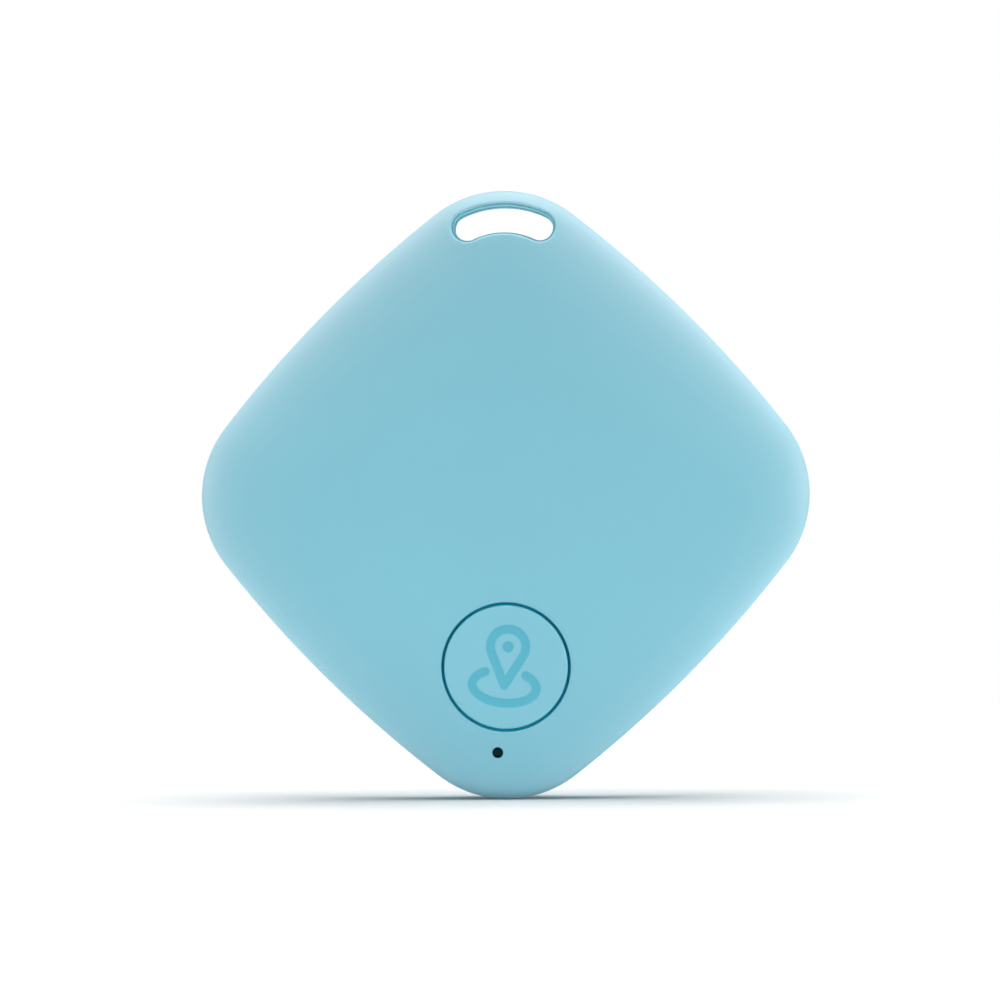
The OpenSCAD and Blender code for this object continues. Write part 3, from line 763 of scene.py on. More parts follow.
finish_of = {
    "case_blue": case_plastic("case_blue", CASE),
    # Painted light: the gaps' walls are a fuller cyan and the slot's walls a lighter one, standing in for
    # light bounced round inside them
    "case_blue_deep": painted_glow_wall("case_blue_deep", colour(0.005, 0.56, 0.74)),
    "case_blue_slot": painted_glow_wall("case_blue_slot", colour(0.45, 0.82, 0.9)),
    "button_blue": case_plastic("button_blue", shade(CASE, 1.03), MARK),
    "board_green": board_finish(),
    "foam_grey": foam("foam_grey", colour(0.075, 0.08, 0.088)),
    "glue_clear": resin("glue_clear", colour(0.78, 0.74, 0.66)),
    # Painted shade: the lens is a near-black teal, partly a smoked lens and partly the shade and cyan glow of
    # the small hole in front of it
    "led_white": resin("led_white", colour(0.003, 0.1, 0.13), 0.45, 0.1),
}
for make, table in ((moulded, PLASTICS), (metal, METALS)):
    for name, (base, *rest) in table.items():
        finish_of[name] = make(name, colour(*base), *rest)


# ---- front cover ----


def edge_wear(x, y, z):
    """Where hands and a key ring rub: the slot's rims and the seam."""
    slot = np.clip(1 - slot_gap(x, y) / 0.45, 0, 1)
    seam = np.clip(1 - np.abs(z - PART_Z) / 0.3, 0, 1) * np.clip(1 - inset(x, y) / 0.2, 0, 1)
    return np.maximum(slot, 0.7 * seam)


front_holes = {
    "slot": slot_ring,
    "button": lambda d: circle(BUTTON_X, BUTTON_Y, BUTTON_HOLE_R + d, 120),
    "port": lambda d: circle(PORT_X, PORT_Y, PORT_R + d, 32),
}
fillets = {"slot": SLOT_LIP, "button": HOLE_FILLET, "port": PORT_FILLET}


def painted_rim_sheen(x, y, z):
    """Painted highlight: how far the plastic is whitened towards the rim, where sheen would whiten it, and
    more on the upper side, where the lamps fall.
    """
    d = np.maximum(inset(x, y), 0)
    wide = 0.22 * np.exp(-d / 6) * np.clip(0.3 + 0.05 * y, 0, 1)
    near = np.exp(-d / 1.9) * np.clip(0.5 + 0.01 * y, 0.35, 0.62)
    return (near + wide) * np.clip((z - REAR_SHOULDER) / 1.5, 0.3, 1)


# Real wear at the slot's rims and the seam, and a painted highlight along the rims
SHELL_MARKS = [("edge", edge_wear), ("pale", painted_rim_sheen)]


def rim_insets(width, power, steps=8):
    """Insets of even steps up a domed rim, as far as the edge of its face."""
    last = math.acos((1 - RIM_IN / width) ** (power / 2))
    return [width * (1 - math.cos(last * k / steps) ** (2 / power)) for k in range(steps)] + [RIM_IN]


def front_cover():
    s = Skin()
    rim = [lifted(outline(d), front_z) for d in rim_insets(FRONT_ROUND, FRONT_POWER)]
    seam = lifted(outline(SEAM_IN), PART_Z)
    s.band(seam, *rim)
    holes = [ring(fillets[k]) for k, ring in front_holes.items()]
    steps = [0.6, 0.78, 1.0, 1.27, 1.6, 1.95, 2.35, 2.8, 3.25, 3.75, 4.25, 4.75, 5.3, 5.85, 6.4, 6.95]
    points = face_points(lambda d: min(0.55, 0.3 + 0.06 * d), steps, TIP)
    button_edge = BUTTON_HOLE_R + HOLE_FILLET
    clear = slot_gap(*points.T) > SLOT_FILLET + 0.12
    clear &= away(points, BUTTON_X, BUTTON_Y) > button_edge + 0.2
    clear &= away(points, PORT_X, PORT_Y) > PORT_R + 0.25
    extra = [slot_ring(SLOT_LIP + e) for e in (0.12, 0.3, 0.54)]
    extra += [circle(BUTTON_X, BUTTON_Y, button_edge + e, n) for e, n in ((0.1, 120), (0.3, 90))]
    extra = np.vstack(extra)
    extra = extra[inset(*extra.T) > RIM_IN + 0.08]
    apart = slot_gap(*extra.T) > SLOT_LIP + 0.08
    s.sheet(front_z, outline(RIM_IN), holes, np.vstack([points[clear], extra[apart]]))
    inner_edge = cut_top(outline(SIDE_WALL), BAY_TOP)
    # Walls of the holes, from their rounded edges to the ceiling or the seam. Below the rounded edges, zone 1
    # gives the gaps' walls painted glow and zone 2 gives the slot's walls painted light.
    for key, ring in front_holes.items():
        rings = fillet_rings(ring, fillets[key], front_z, 1)
        s.band(*rings)
        if key == "slot":
            s.zone = 2
            s.band(rings[-1], lifted(ring(0), PART_Z + 0.05), lifted(ring(0.05), PART_Z))
        else:
            s.zone = 1
            s.band(rings[-1], lifted(ring(0), front_bay_z))
        s.zone = 0
    s.sheet(PART_Z, outline(SEAM_IN), [inner_edge, slot_ring(0.05)])
    s.band(lifted(inner_edge, PART_Z), lifted(inner_edge, front_bay_z))
    bay = np.vstack([spaced_outline(SIDE_WALL + d, 0.5) for d in (0.03, 0.1, 0.25, 0.5, 0.9, 1.4, 2.0, 2.9)])
    bay = bay[(bay[:, 1] < BAY_TOP - 0.05) & (away(bay, PORT_X, PORT_Y) > PORT_R + 0.1)]
    s.sheet(front_bay_z, inner_edge, [front_holes["button"](0), front_holes["port"](0)], bay)
    # Bosses for the screws, the sounder's seat and the ribs beside the button's key
    root = CEILING_Z + 0.2
    boss = [(BOSS_R, root), (BOSS_R, BOARD_FRONT + 0.1), (BOSS_R - 0.1, BOARD_FRONT)]
    boss += [(PILOT_R + 0.08, BOARD_FRONT), (PILOT_R, BOARD_FRONT + 0.08), (PILOT_R, BOARD_FRONT + 1.72)]
    for x, y, *_ in SCREWS:
        s.turned_body(boss, (x, y), 40)
    wide, narrow = SEAT_RS
    rim_z = CEILING_Z - 0.3
    seat = [(wide, root), (wide, rim_z), (narrow, rim_z), (narrow, root), (wide, root)]
    s.band(*turned(seat, 96, cad_middle("buzzer_ring")[:2]))
    for side in (-1, 1):
        rib = rounded_rect(0.6, 0.5, 0.08) + (BUTTON_X + side * 0.9, BUTTON_Y + FLANGE_R + 0.35)
        s.tube(lifted(rib, root), lifted(rib, FLANGE_Z))
    others = ["case_blue_deep", "case_blue_slot"]
    s.build("front_shell", "case", "case_blue", "front_cover", others, SHELL_MARKS)


# ---- rear cover ----


def notched(loop, z):
    """Points of the rear cover's rim, drawn in at the pry notch."""
    width, height, depth = NOTCH
    out = loop.copy()
    x = out[:, 0] / (width / 2)
    across = np.clip(1.35 * (1 - x**4), 0, 1) * (np.abs(x) < 1) * (out[:, 1] < 0)
    up = np.clip((z - (PART_Z - height)) / (0.6 * height), 0, 1)
    out[:, 1] += depth * across * up * up * (3 - 2 * up)
    return out


def rear_cover():
    s = Skin()
    rim = [lifted(outline(d), rear_z) for d in rim_insets(REAR_ROUND, REAR_POWER)]
    wall = []
    for z in np.linspace(PART_Z - SEAM, REAR_SHOULDER + 0.02, 9):
        wall.append(lifted(notched(outline(0), z), z))
    seam_loop = notched(outline(SEAM_IN), PART_Z)
    s.band(lifted(seam_loop, PART_Z), *wall, *rim)
    steps = [0.62, 0.85, 1.15, 1.5, 1.9, 2.35, 2.85, 3.35, 3.9, 4.45, 5.0, 5.6]
    points = face_points(lambda d: min(0.8, 0.32 + 0.1 * d), steps, TIP)
    points = points[slot_gap(*points.T) > SLOT_FILLET + 0.12]
    s.sheet(rear_z, outline(RIM_IN), [slot_ring(SLOT_FILLET - SLOT_LEDGE)], points)
    rings = fillet_rings(lambda d: slot_ring(d - SLOT_LEDGE), SLOT_FILLET, rear_z, -1)
    # The ledge round the slot, and the groove where the front cover's wall meets it
    across, deep = SLOT_MOAT
    ledge = [(-SLOT_LEDGE, -0.08), (0.04 - SLOT_LEDGE, -0.04), (-across, -0.04), (-across, -deep)]
    ledge += [(0, -deep), (0, 0)]
    s.band(*rings)
    # The slot's ledge and walls take the painted light finish
    s.zone = 1
    s.band(rings[-1], *[lifted(slot_ring(d), PART_Z + h) for d, h in ledge])
    s.zone = 0
    outer = cut_top(outline(TONGUE_IN), BAY_TOP - 0.1)
    inner = cut_top(outline(REAR_BAY_IN), BAY_TOP - 0.9)
    s.sheet(PART_Z, seam_loop, [outer, slot_ring(0)])
    top = PART_Z + TONGUE_H
    outer_top = cut_top(outline(TONGUE_IN + 0.12), BAY_TOP - 0.22)
    s.band(lifted(outer, PART_Z), lifted(outer, top - 0.15), lifted(outer_top, top))
    s.sheet(top, outer_top, [inner])
    s.band(lifted(inner, top), lifted(inner, rear_bay_z))
    steps = (0.03, 0.1, 0.25, 0.5, 0.9, 1.4, 2.0, 2.7, 3.4)
    bay = np.vstack([spaced_outline(REAR_BAY_IN + d, 0.5) for d in steps])
    bay = bay[bay[:, 1] < BAY_TOP - 0.95]
    even = grid(1.2, TIP)
    even = even[inset(*even.T) > REAR_BAY_IN + REAR_BAY_ROUND + 0.5]
    s.sheet(rear_bay_z, inner, [], np.vstack([bay, even]))
    s.build("rear_shell", "rear_cover_body", "case_blue", "rear_cover", ["case_blue_slot"], SHELL_MARKS)


# ---- button ----


def path_gap(x, y, path):
    """Distance of points from a line through the path's points."""
    best = np.full(len(x), 1e9)
    for (ax, ay), (bx, by) in zip(path[:-1], path[1:]):
        dx, dy = bx - ax, by - ay
        t = np.clip(((x - ax) * dx + (y - ay) * dy) / (dx * dx + dy * dy), 0, 1)
        best = np.minimum(best, np.hypot(x - ax - t * dx, y - ay - t * dy))
    return best


MARK_LINE = 0.31
MARK_DEPTH = 0.05
PIN_R = 1.245
PIN_Y = 1.43
PIN_DROP = 2.73
RING_Y = -1.375
RING_A = 2.26
RING_B = 1.17
RING_OPEN = 50.7


def mark_paths():
    lean = math.degrees(math.asin(PIN_R / PIN_DROP))
    pin = np.vstack([[[0, PIN_Y - PIN_DROP]], arc(0, PIN_Y, PIN_R, -lean, 180 + lean, 60)])
    end = math.radians(180 + lean)
    pin = np.vstack([pin, [[PIN_R * math.cos(end), PIN_Y + PIN_R * math.sin(end)]], pin[:1]])
    a = np.radians(np.linspace(180 - RING_OPEN, 360 + RING_OPEN, 73))
    ring = np.column_stack([RING_A * np.cos(a), RING_Y + RING_B * np.sin(a)])
    return pin, ring


PIN_PATH, RING_PATH = mark_paths()


def mark_gap(x, y):
    """Distance outside the pictogram's lines: a map pin that stands in an open ring."""
    c, s = math.cos(math.radians(BUTTON_TILT)), math.sin(math.radians(BUTTON_TILT))
    u, v = x - BUTTON_X, y - BUTTON_Y
    u, v = u * c + v * s, v * c - u * s
    lines = np.minimum(path_gap(u, v, PIN_PATH), path_gap(u, v, RING_PATH)) - MARK_LINE
    return np.minimum(lines, np.hypot(u, v - PIN_Y) - 0.39)


def smooth(t):
    t = np.clip(t, 0, 1)
    return t * t * (3 - 2 * t)


def cap_z(x, y):
    """Height of the button's face: the front face, dished a little, with the pictogram sunk in it."""
    r = np.hypot(x - BUTTON_X, y - BUTTON_Y)
    dish = CAP_DISH * (1 - smooth(r / (BUTTON_R - 0.3)))
    sunk = MARK_DEPTH * smooth(0.5 - mark_gap(x, y) / 0.1)
    return front_z(x, y) - 0.02 - dish - sunk


def cap_points():
    """Points over the button, drawn up to the pictogram's edges."""
    reach = BUTTON_R - CAP_FILLET - 0.08
    near = grid(0.1, 3.4)
    wide = grid(0.3, reach)
    near = near[away(near) < 3.35]
    wide = wide[away(wide) > 3.55]
    points = np.vstack([near, wide]) + (BUTTON_X, BUTTON_Y)
    points = drawn_to(points, mark_gap, 0.09)
    return points[away(points, BUTTON_X, BUTTON_Y) < reach]


def button():
    s = Skin()
    edge = fillet_rings(lambda d: circle(BUTTON_X, BUTTON_Y, BUTTON_R - d, 120), CAP_FILLET, cap_z, 1)
    s.sheet(cap_z, edge[0][:, :2], [], cap_points())
    steps = [(BUTTON_R, CEILING_Z + 0.02), (FLANGE_R - 0.03, CEILING_Z - 0.01), (FLANGE_R, CEILING_Z - 0.04)]
    steps += [(FLANGE_R, FLANGE_Z + 0.03), (FLANGE_R - 0.03, FLANGE_Z)]
    steps += [(STEM_SEAT_R, FLANGE_Z), (STEM_SEAT_R - 0.05, FLANGE_Z - 0.1)]
    rings = turned(steps, 120, (BUTTON_X, BUTTON_Y))
    s.band(*edge)
    # The button's side takes the painted glow finish
    s.zone = 1
    s.band(edge[-1], *rings)
    s.cap(rings[-1])
    key = rounded_rect(1.0, 0.5, 0.08) + (BUTTON_X, BUTTON_Y + FLANGE_R)
    s.tube(lifted(key, FLANGE_Z), lifted(key, CEILING_Z - 0.02))
    marks = [
        # Painted highlight along the button's rim
        ("pale", painted_rim_sheen),
        ("edge", lambda x, y, z: smooth((np.hypot(x - BUTTON_X, y - BUTTON_Y) - 4.15) / 0.15)),
        ("mark", lambda x, y, z: smooth(0.5 - mark_gap(x, y) / 0.1) * (z > CEILING_Z + 0.5)),
    ]
    s.build("button_shell", "button", "button_blue", "button_cap", ["case_blue_deep"], marks)


# ---- what the CAD nodes say about their blocks ----


def outlines(e):
    """Whether an edge is level and lies between two faces that differ."""
    level = abs(e.verts[0].co.y - e.verts[1].co.y) < 1e-7
    inner = len(e.link_faces) == 2 and e.link_faces[0].normal.angle(e.link_faces[1].normal, 0) < 0.01
    return level and not inner


def blocks(node):
    """The separate bodies of a CAD node: the middle in x and y, the turn of the longest edge, the sizes along
    it and across it, the lowest and highest z, and the side across it that has more corners."""
    shape = bmesh.new()
    shape.from_mesh(frame["nodes"][node].data)
    bmesh.ops.remove_doubles(shape, verts=shape.verts, dist=1e-6)
    shape.verts.ensure_lookup_table()
    seen = set()
    found = []
    for first in shape.verts:
        if first.index in seen:
            continue
        seen.add(first.index)
        group = [first]
        for v in group:
            for e in v.link_edges:
                other = e.other_vert(v)
                if other.index not in seen:
                    seen.add(other.index)
                    group.append(other)
        edges = {e.index: e for v in group for e in v.link_edges}.values()
        longest = max([e for e in edges if outlines(e)] or edges, key=lambda e: round(e.calc_length(), 7))
        a, b = longest.verts[0].co, longest.verts[1].co
        turn = math.atan2(b.z - a.z, b.x - a.x) % math.pi
        points = np.array([(v.co.x / MM - MIDDLE_X, v.co.z / MM - MIDDLE_Y, -v.co.y / MM) for v in group])
        c, s = math.cos(turn), math.sin(turn)
        along = points[:, 0] * c + points[:, 1] * s
        across = points[:, 1] * c - points[:, 0] * s
        mid_a, mid_b = (along.min() + along.max()) / 2, (across.min() + across.max()) / 2
        sizes = (np.ptp(along), np.ptp(across))
        heights = (points[:, 2].min(), points[:, 2].max())
        lean = 1 if across.mean() > mid_b else -1
        found.append((mid_a * c - mid_b * s, mid_a * s + mid_b * c, turn, sizes, heights, lean))
    shape.free()
    return sorted(found, key=lambda b: (round(b[0], 4), round(b[1], 4)))


SCREWS = blocks("board_screws")


def mounted(s, node, board=None, way=-1):
    """Stands the skin on the board at each body of a node, and gives the body's length, width and height."""
    for x, y, turn, (length, width), (low, high), _ in blocks(node):
        s.stand(x, y, turn, BOARD_BACK if board is None else board, way)
        yield length, width, high - low


# ---- board ----


DOME_T = 0.06
ON_BACK = ["bluetooth_chip", "main_crystal", "clock_crystal", "chip_antenna", "buzzer_driver", "inductor"]
BOARD_IN = 2.4
SCREW_HOLE_R = 0.8
PEG_X = 10.55
PEG_R = 0.55
INK_T = 0.012


def circuit_board():
    """The board with its holes, solder pads and printed outlines round the parts."""
    s = Skin()
    board_top = BAY_TOP - (BOARD_IN - SIDE_WALL)
    edge = cut_top(outline(BOARD_IN), board_top)
    inner = cut_top(outline(BOARD_IN + 0.03), board_top - 0.03)
    holes = [circle(x, y, SCREW_HOLE_R, 32) for x, y, *_ in SCREWS]
    holes += [circle(side * PEG_X, 0, PEG_R, 24) for side in (-1, 1)]
    s.sheet(BOARD_BACK, inner, holes)
    s.sheet(BOARD_FRONT, inner, holes)
    s.band(lifted(inner, BOARD_BACK), lifted(edge, BOARD_BACK + 0.04), lifted(edge, BOARD_FRONT - 0.04),
           lifted(inner, BOARD_FRONT))
    for hole in holes:
        s.band(lifted(hole, BOARD_BACK), lifted(hole, BOARD_FRONT))
    # Plated rings round the screw holes
    s.zone = 2
    for x, y, *_ in SCREWS:
        s.stand(x, y, 0, BOARD_BACK, -1)
        s.band(*turned([(1.5, 0.0), (1.48, 0.03), (0.83, 0.03), (0.83, 0.0), (1.5, 0.0)], 40))
    # Printed outlines
    s.zone = 1
    for node in ON_BACK:
        for length, width, _ in mounted(s, node):
            outer = rounded_rect(length + 0.62, width + 0.5, 0.12)
            inner = rounded_rect(length + 0.4, width + 0.28, 0.05)
            line = [(outer, 0), (outer, INK_T), (inner, INK_T), (inner, 0), (outer, 0)]
            s.band(*[lifted(loop, h) for loop, h in line])
    s.build("board", "case", "board_green", "circuit_board", ["print_white", "solder_pad"])


HEAD_R = 1.25
HEAD_H = 0.6
CROSS_REACH = 0.62
CROSS_HALF = 0.13
THREAD_TURNS = 7
THREAD_PITCH = 0.24


def plus_gap(u, v, reach, half):
    """Distance outside a plus sign, from distances to its two middle lines."""
    return np.minimum(np.maximum(u - reach, v - half), np.maximum(v - reach, u - half))


def cross(x, y):
    """Distance outside the cross recess of a screw, which stands on its corner."""
    return plus_gap(np.abs(x + y) * 0.7071, np.abs(x - y) * 0.7071, CROSS_REACH, CROSS_HALF)


def screw_face(x, y):
    r = np.hypot(x, y) / HEAD_R
    return HEAD_H - 0.22 * r**2.6 - 0.3 * smooth(0.5 - cross(x, y) / 0.1) * (1 - 0.35 * r)


def screws():
    """Pan-head screws with a cross recess and a rolled thread."""
    s = Skin()
    points = drawn_to(grid(0.09, HEAD_R), cross, 0.08)
    points = points[away(points) < HEAD_R - 0.07]
    rim = circle(0, 0, HEAD_R, 64)
    profile = [(HEAD_R, 0.08), (HEAD_R - 0.08, 0), (0.62, 0.0), (0.62, -0.7)]
    for k in range(THREAD_TURNS):
        profile += [(0.55, -0.75 - THREAD_PITCH * k), (0.68, -0.85 - THREAD_PITCH * k)]
    shank = turned(profile + [(0.5, -2.45)], 64)
    for x, y, *_ in SCREWS:
        s.stand(x, y, 0.3 * x, BOARD_BACK - 0.03, -1)
        s.sheet(screw_face, rim, [], points)
        s.band(lifted(rim, screw_face), *shank)
        s.cap(shank[-1])
    s.build("screws", "case", "screw_steel", "board_screws")


def marked_block(s, body, lid, low, shoulder, tall, dot, base):
    """A block with a narrower lid, and a dot sunk in the lid."""
    s.band(lifted(body, low), lifted(body, shoulder), lifted(lid, tall))
    s.cap(lifted(body, low))
    s.sheet(tall, lid, [dot])
    s.band(lifted(dot, tall), lifted(base, tall - 0.05))
    s.cap(lifted(base, tall - 0.05))


LEG_PITCH = 0.5


def chip():
    """The radio chip, with a dot at its first leg and seven legs along each side."""
    s = Skin()
    for length, width, tall in mounted(s, "bluetooth_chip"):
        body = rounded_rect(length, width, 0.05)
        lid = rounded_rect(length - 0.08, width - 0.08, 0.04)
        dot = circle(-length / 2 + 0.55, width / 2 - 0.55, 0.2, 24)
        marked_block(s, body, lid, 0.03, tall - 0.04, tall, dot, dot)
        s.zone = 1
        for side in (-1, 1):
            for along in np.arange(-3, 4) * LEG_PITCH:
                s.brick(0.25, 0.5, 0, 0.2, 0.03, 0.02, (along, side * (width / 2 - 0.1)))
                s.brick(0.5, 0.25, 0, 0.2, 0.03, 0.02, (side * (length / 2 - 0.1), along))
    s.build("radio_chip", "case", "chip_black", "bluetooth_chip", ["solder"])


def crystal(node, name, slot):
    """A metal lid seam-welded onto a ceramic base."""
    s = Skin()
    for length, width, tall in mounted(s, node):
        s.zone = 1
        s.brick(length, width, 0, 0.36 * tall, 0.12, 0.03)
        s.zone = 0
        lid = [(0.24, 0.36), (0.24, 0.5), (0.3, 0.56), (0.34, 0.88), (0.42, 0.97), (0.56, 1.0)]
        s.tube(*[lifted(rounded_rect(length - d, width - d, 0.18), tall * h) for d, h in lid])
        s.zone = 2
        for side in (-1, 1):
            for end in (-1, 1):
                s.brick(0.62, 0.5, 0, 0.09, 0.05, 0.03, (side * (length / 2 - 0.2), end * (width / 2 - 0.16)))
    s.build(name, "case", slot, node, ["ceramic_base", "solder"])


ANTENNA_BARS = 6
BAR_PITCH = 0.8


def antenna():
    """A white ceramic antenna with end pads and a printed conductor."""
    s = Skin()
    for length, width, tall in mounted(s, "chip_antenna"):
        s.brick(length - 0.04, width - 0.04, 0.02, tall - 0.02, 0.06, 0.05)
        s.zone = 1
        s.pair(0.62, width, 0, tall - 0.01, 0.05, 0.04, length / 2 - 0.3)
        s.pair(0.5, width + 0.3, 0, 0.1, 0.08, 0.06, length / 2 + 0.02)
        for k in range(ANTENNA_BARS):
            at = -length / 2 + 1.25 + BAR_PITCH * k
            s.brick(0.2, width - 0.7, tall - 0.05, tall, 0.03, 0.01, (at, 0))
            if k < ANTENNA_BARS - 1:
                end = (width / 2 - 0.42) * (1 if k % 2 else -1)
                s.brick(1.0, 0.2, tall - 0.05, tall, 0.03, 0.01, (at + BAR_PITCH / 2, end))
    s.build("antenna", "case", "antenna_white", "chip_antenna", ["solder"])


def small_parts(node, name, slot, glazed):
    """Small two-ended parts with plated ends in solder fillets."""
    s = Skin()
    for length, width, tall in mounted(s, node):
        s.zone = 0
        if glazed:
            s.brick(length - 0.44, width - 0.06, tall - 0.08, tall - 0.005, 0.02, 0.015)
            s.zone = 2
            s.brick(length - 0.06, width - 0.02, 0.03, tall - 0.05, 0.02, 0.015)
        else:
            s.brick(length - 0.06, width - 0.03, 0.03, tall - 0.02, 0.05, 0.04)
        s.zone = 1
        s.pair(0.24, width, 0.02, tall - (0.03 if glazed else 0.01), 0.04, 0.035, length / 2 - 0.12)
        for side in (-1, 1):
            pad = [(0.5, 0.12, 0.03, 0.0), (0.46, 0.08, 0.02, 0.05), (0.2, -0.02, -0.06, 0.45 * tall)]
            s.tube(*[
                lifted(rounded_rect(long, width + wider, 0.04) + (side * (length / 2 + out), 0), z)
                for long, wider, out, z in pad
            ])
    s.build(name, "case", slot, node, ["solder", "ceramic_base"])


DRIVER_W = 1.3


def driver():
    """A moulded transistor with three bent legs."""
    s = Skin()
    *_, lean = blocks("buzzer_driver")[0]
    for length, reach, tall in mounted(s, "buzzer_driver"):
        mid = tall * 0.52
        outer = rounded_rect(length, DRIVER_W, 0.06)
        top = rounded_rect(length - 0.14, DRIVER_W - 0.14, 0.06)
        s.tube(lifted(top, 0.06), lifted(outer, mid), lifted(top, tall - 0.02), lifted(top * 0.97, tall))
        s.zone = 1
        for side, at in ((lean, -0.95), (lean, 0.95), (-lean, 0.0)):
            leg = [(-0.1, mid), (0.1, mid), (0.2, mid - 0.08), (0.26, 0.16), (0.34, 0.08)]
            path = [(DRIVER_W / 2 + out, h) for out, h in leg] + [(reach / 2 + 0.02, 0.08)]
            s.ribbon([(at, side * b, h) for b, h in path], (1, 0, 0), 0.38, 0.12)
            s.brick(0.5, 0.4, 0, 0.05, 0.06, 0.03, (at, side * (reach / 2 - 0.1)))
    s.build("driver", "case", "driver_black", "buzzer_driver", ["solder"])


def coil():
    """A shielded coil: a dark moulded block with a shallow round recess and two terminals."""
    s = Skin()
    for length, width, tall in mounted(s, "inductor"):
        body = rounded_rect(length - 0.04, width - 0.04, 0.2)
        lid = rounded_rect(length - 0.14, width - 0.14, 0.16)
        well, base = circle(0, 0, 0.5, 40), circle(0, 0, 0.47, 40)
        marked_block(s, body, lid, 0.04, tall - 0.06, tall, well, base)
        s.zone = 1
        s.pair(0.34, width * 0.62, 0, 0.34, 0.04, 0.04, length / 2 - 0.12)
        s.pair(0.5, width * 0.8, 0, 0.06, 0.06, 0.04, length / 2 + 0.02)
    s.build("coil", "case", "inductor_grey", "inductor", ["solder"])


def led():
    """A small light with a smoked lens in a pale frame. The lens's dark teal is partly a smoked lens and
    partly painted shade of the hole in front of it.
    """
    s = Skin()
    for length, width, tall in mounted(s, "status_led", BOARD_FRONT, 1):
        s.brick(length - 0.5, width - 0.04, 0.2, tall, 0.1, 0.12)
        s.zone = 2
        s.brick(length - 0.04, width, 0.02, 0.24, 0.03, 0.02)
        s.zone = 1
        s.pair(0.22, width * 0.9, 0, 0.26, 0.03, 0.02, length / 2 - 0.1)
    s.build("light", "case", "led_white", "status_led", ["solder", "ceramic_base"])


def snap_dome():
    """The button's sprung dome, which the stem flattens."""
    s = Skin()
    low, high = cad_box("switch_dome")
    x, y, _ = (low + high) / 2
    r, rise = (high[0] - low[0]) / 2, high[2] - low[2]
    under = [(r * t, low[2] + (rise - DOME_T) * (1 - t * t)) for t in np.linspace(0.03, 1, 12)]
    over = [(r, z + DOME_T) for r, z in under[::-1]]
    s.turned_body(under + over, (x, y), 64)
    made = s.build("snap_dome", "case", "dome_metal", "switch_dome")
    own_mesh(made)


# ---- cell and its holder ----


PLUS_Y = 4.6
PLUS_REACH = 1.5
PLUS_HALF = 0.24
STAMP_IN = 1.15
STAMP_DEPTH = 0.07


def cell_can():
    """The cell's steel cup, with a plus sign and a ring pressed into its face."""
    s = Skin()
    low, high = cad_box("cell_can")
    r = (high[0] - low[0]) / 2

    def stamp(x, y):
        ring = np.abs(np.hypot(x, y) - (r - STAMP_IN)) - 0.07
        return np.minimum(plus_gap(np.abs(x), np.abs(y - PLUS_Y), PLUS_REACH, PLUS_HALF), ring)

    def face(x, y):
        return low[2] + STAMP_DEPTH * smooth(0.5 - stamp(x, y) / 0.12)

    fine = grid(0.16, 2.2)
    fine = fine[np.abs(fine).max(axis=1) < 1.8] + (0, PLUS_Y)
    even = grid(0.9, r - 1.5)
    even = even[(away(even) < r - 1.6) & (np.abs(even - (0, PLUS_Y)).max(axis=1) > 2.1)]
    rings = [circle(0, 0, r - STAMP_IN + d, 160) for d in (-0.25, -0.13, -0.03, 0.03, 0.13, 0.25)]
    points = np.vstack([drawn_to(fine, stamp, 0.14, 0.05), even, *rings])
    wall = [(0.42, 0.0), (0.24, 0.04), (0.1, 0.13), (0.03, 0.25), (0.0, 0.42), (0.0, 2.55), (0.04, 2.75)]
    wall += [(0.16, 2.93), (0.36, 3.03), (0.62, 3.05), (0.75, 3.0), (0.75, 2.86), (0.25, 2.7), (0.25, 0.3)]
    wall += [(0.6, 0.25)]
    loops = turned([(r - d, low[2] + h) for d, h in wall], 160)
    s.sheet(face, loops[0][:, :2], [], points)
    s.band(*loops)
    s.cap(loops[-1])
    s.build("cell_cup", "cell", "cell_steel", "cell_can")


LEAF_T = 0.14
FINGER_GAP = 0.5


def positive_contact():
    """A sprung leaf that stands beside the cell, bent over into a soldered foot with two fingers."""
    s = Skin()
    low, high = cad_box("positive_contact")
    near, far = -high[1], -low[1]
    top = low[2]
    foot = BOARD_BACK - 0.08
    path = [(near + 0.3, top), (near + 0.12, top + 0.3), (near + 0.08, top + 0.9), (near + 0.08, foot - 0.42)]
    path += [(near + 0.12, foot - 0.2), (near + 0.24, foot - 0.05), (near + 0.42, foot), (far, foot)]
    half = (high[0] - low[0]) / 2
    finger = half - FINGER_GAP / 2
    for side in (-1, 1):
        at = side * (FINGER_GAP + finger) / 2
        s.ribbon([(at, -d, z) for d, z in path[:5]], (1, 0, 0), finger, LEAF_T)
    s.ribbon([(0, -d, z) for d, z in path[3:]], (1, 0, 0), 2 * half, LEAF_T)
    s.zone = 1
    for side in (-1, 1):
        s.stand(side * (half - 0.7), -(far - 0.7), 0, BOARD_BACK, -1)
        s.turned_body([(0.62, 0.0), (0.58, 0.1), (0.42, 0.2), (0.16, 0.25)], (0, 0), 32)
    s.build("plus_contact", "case", "contact_metal", "positive_contact", ["solder"])


def welded(name):
    """A CAD node whose triangles are joined up as it is shown."""
    node = frame["nodes"][name]
    weld = node.modifiers.new("weld", "WELD")
    weld.merge_threshold = 1e-6
    return node


def softened(name, width):
    """Rounds the edges of a CAD node as it is shown."""
    bevel = welded(name).modifiers.new("round_edges", "BEVEL")
    bevel.width = width * MM
    bevel.segments = 2
    bevel.limit_method = "ANGLE"
    bevel.angle_limit = math.radians(32)
    bevel.harden_normals = True


def rounded(name):
    """Turns the flat sides of a swept lead round as it is shown."""
    smoother = welded(name).modifiers.new("round_sides", "SUBSURF")
    smoother.levels = 2
    smoother.render_levels = 2


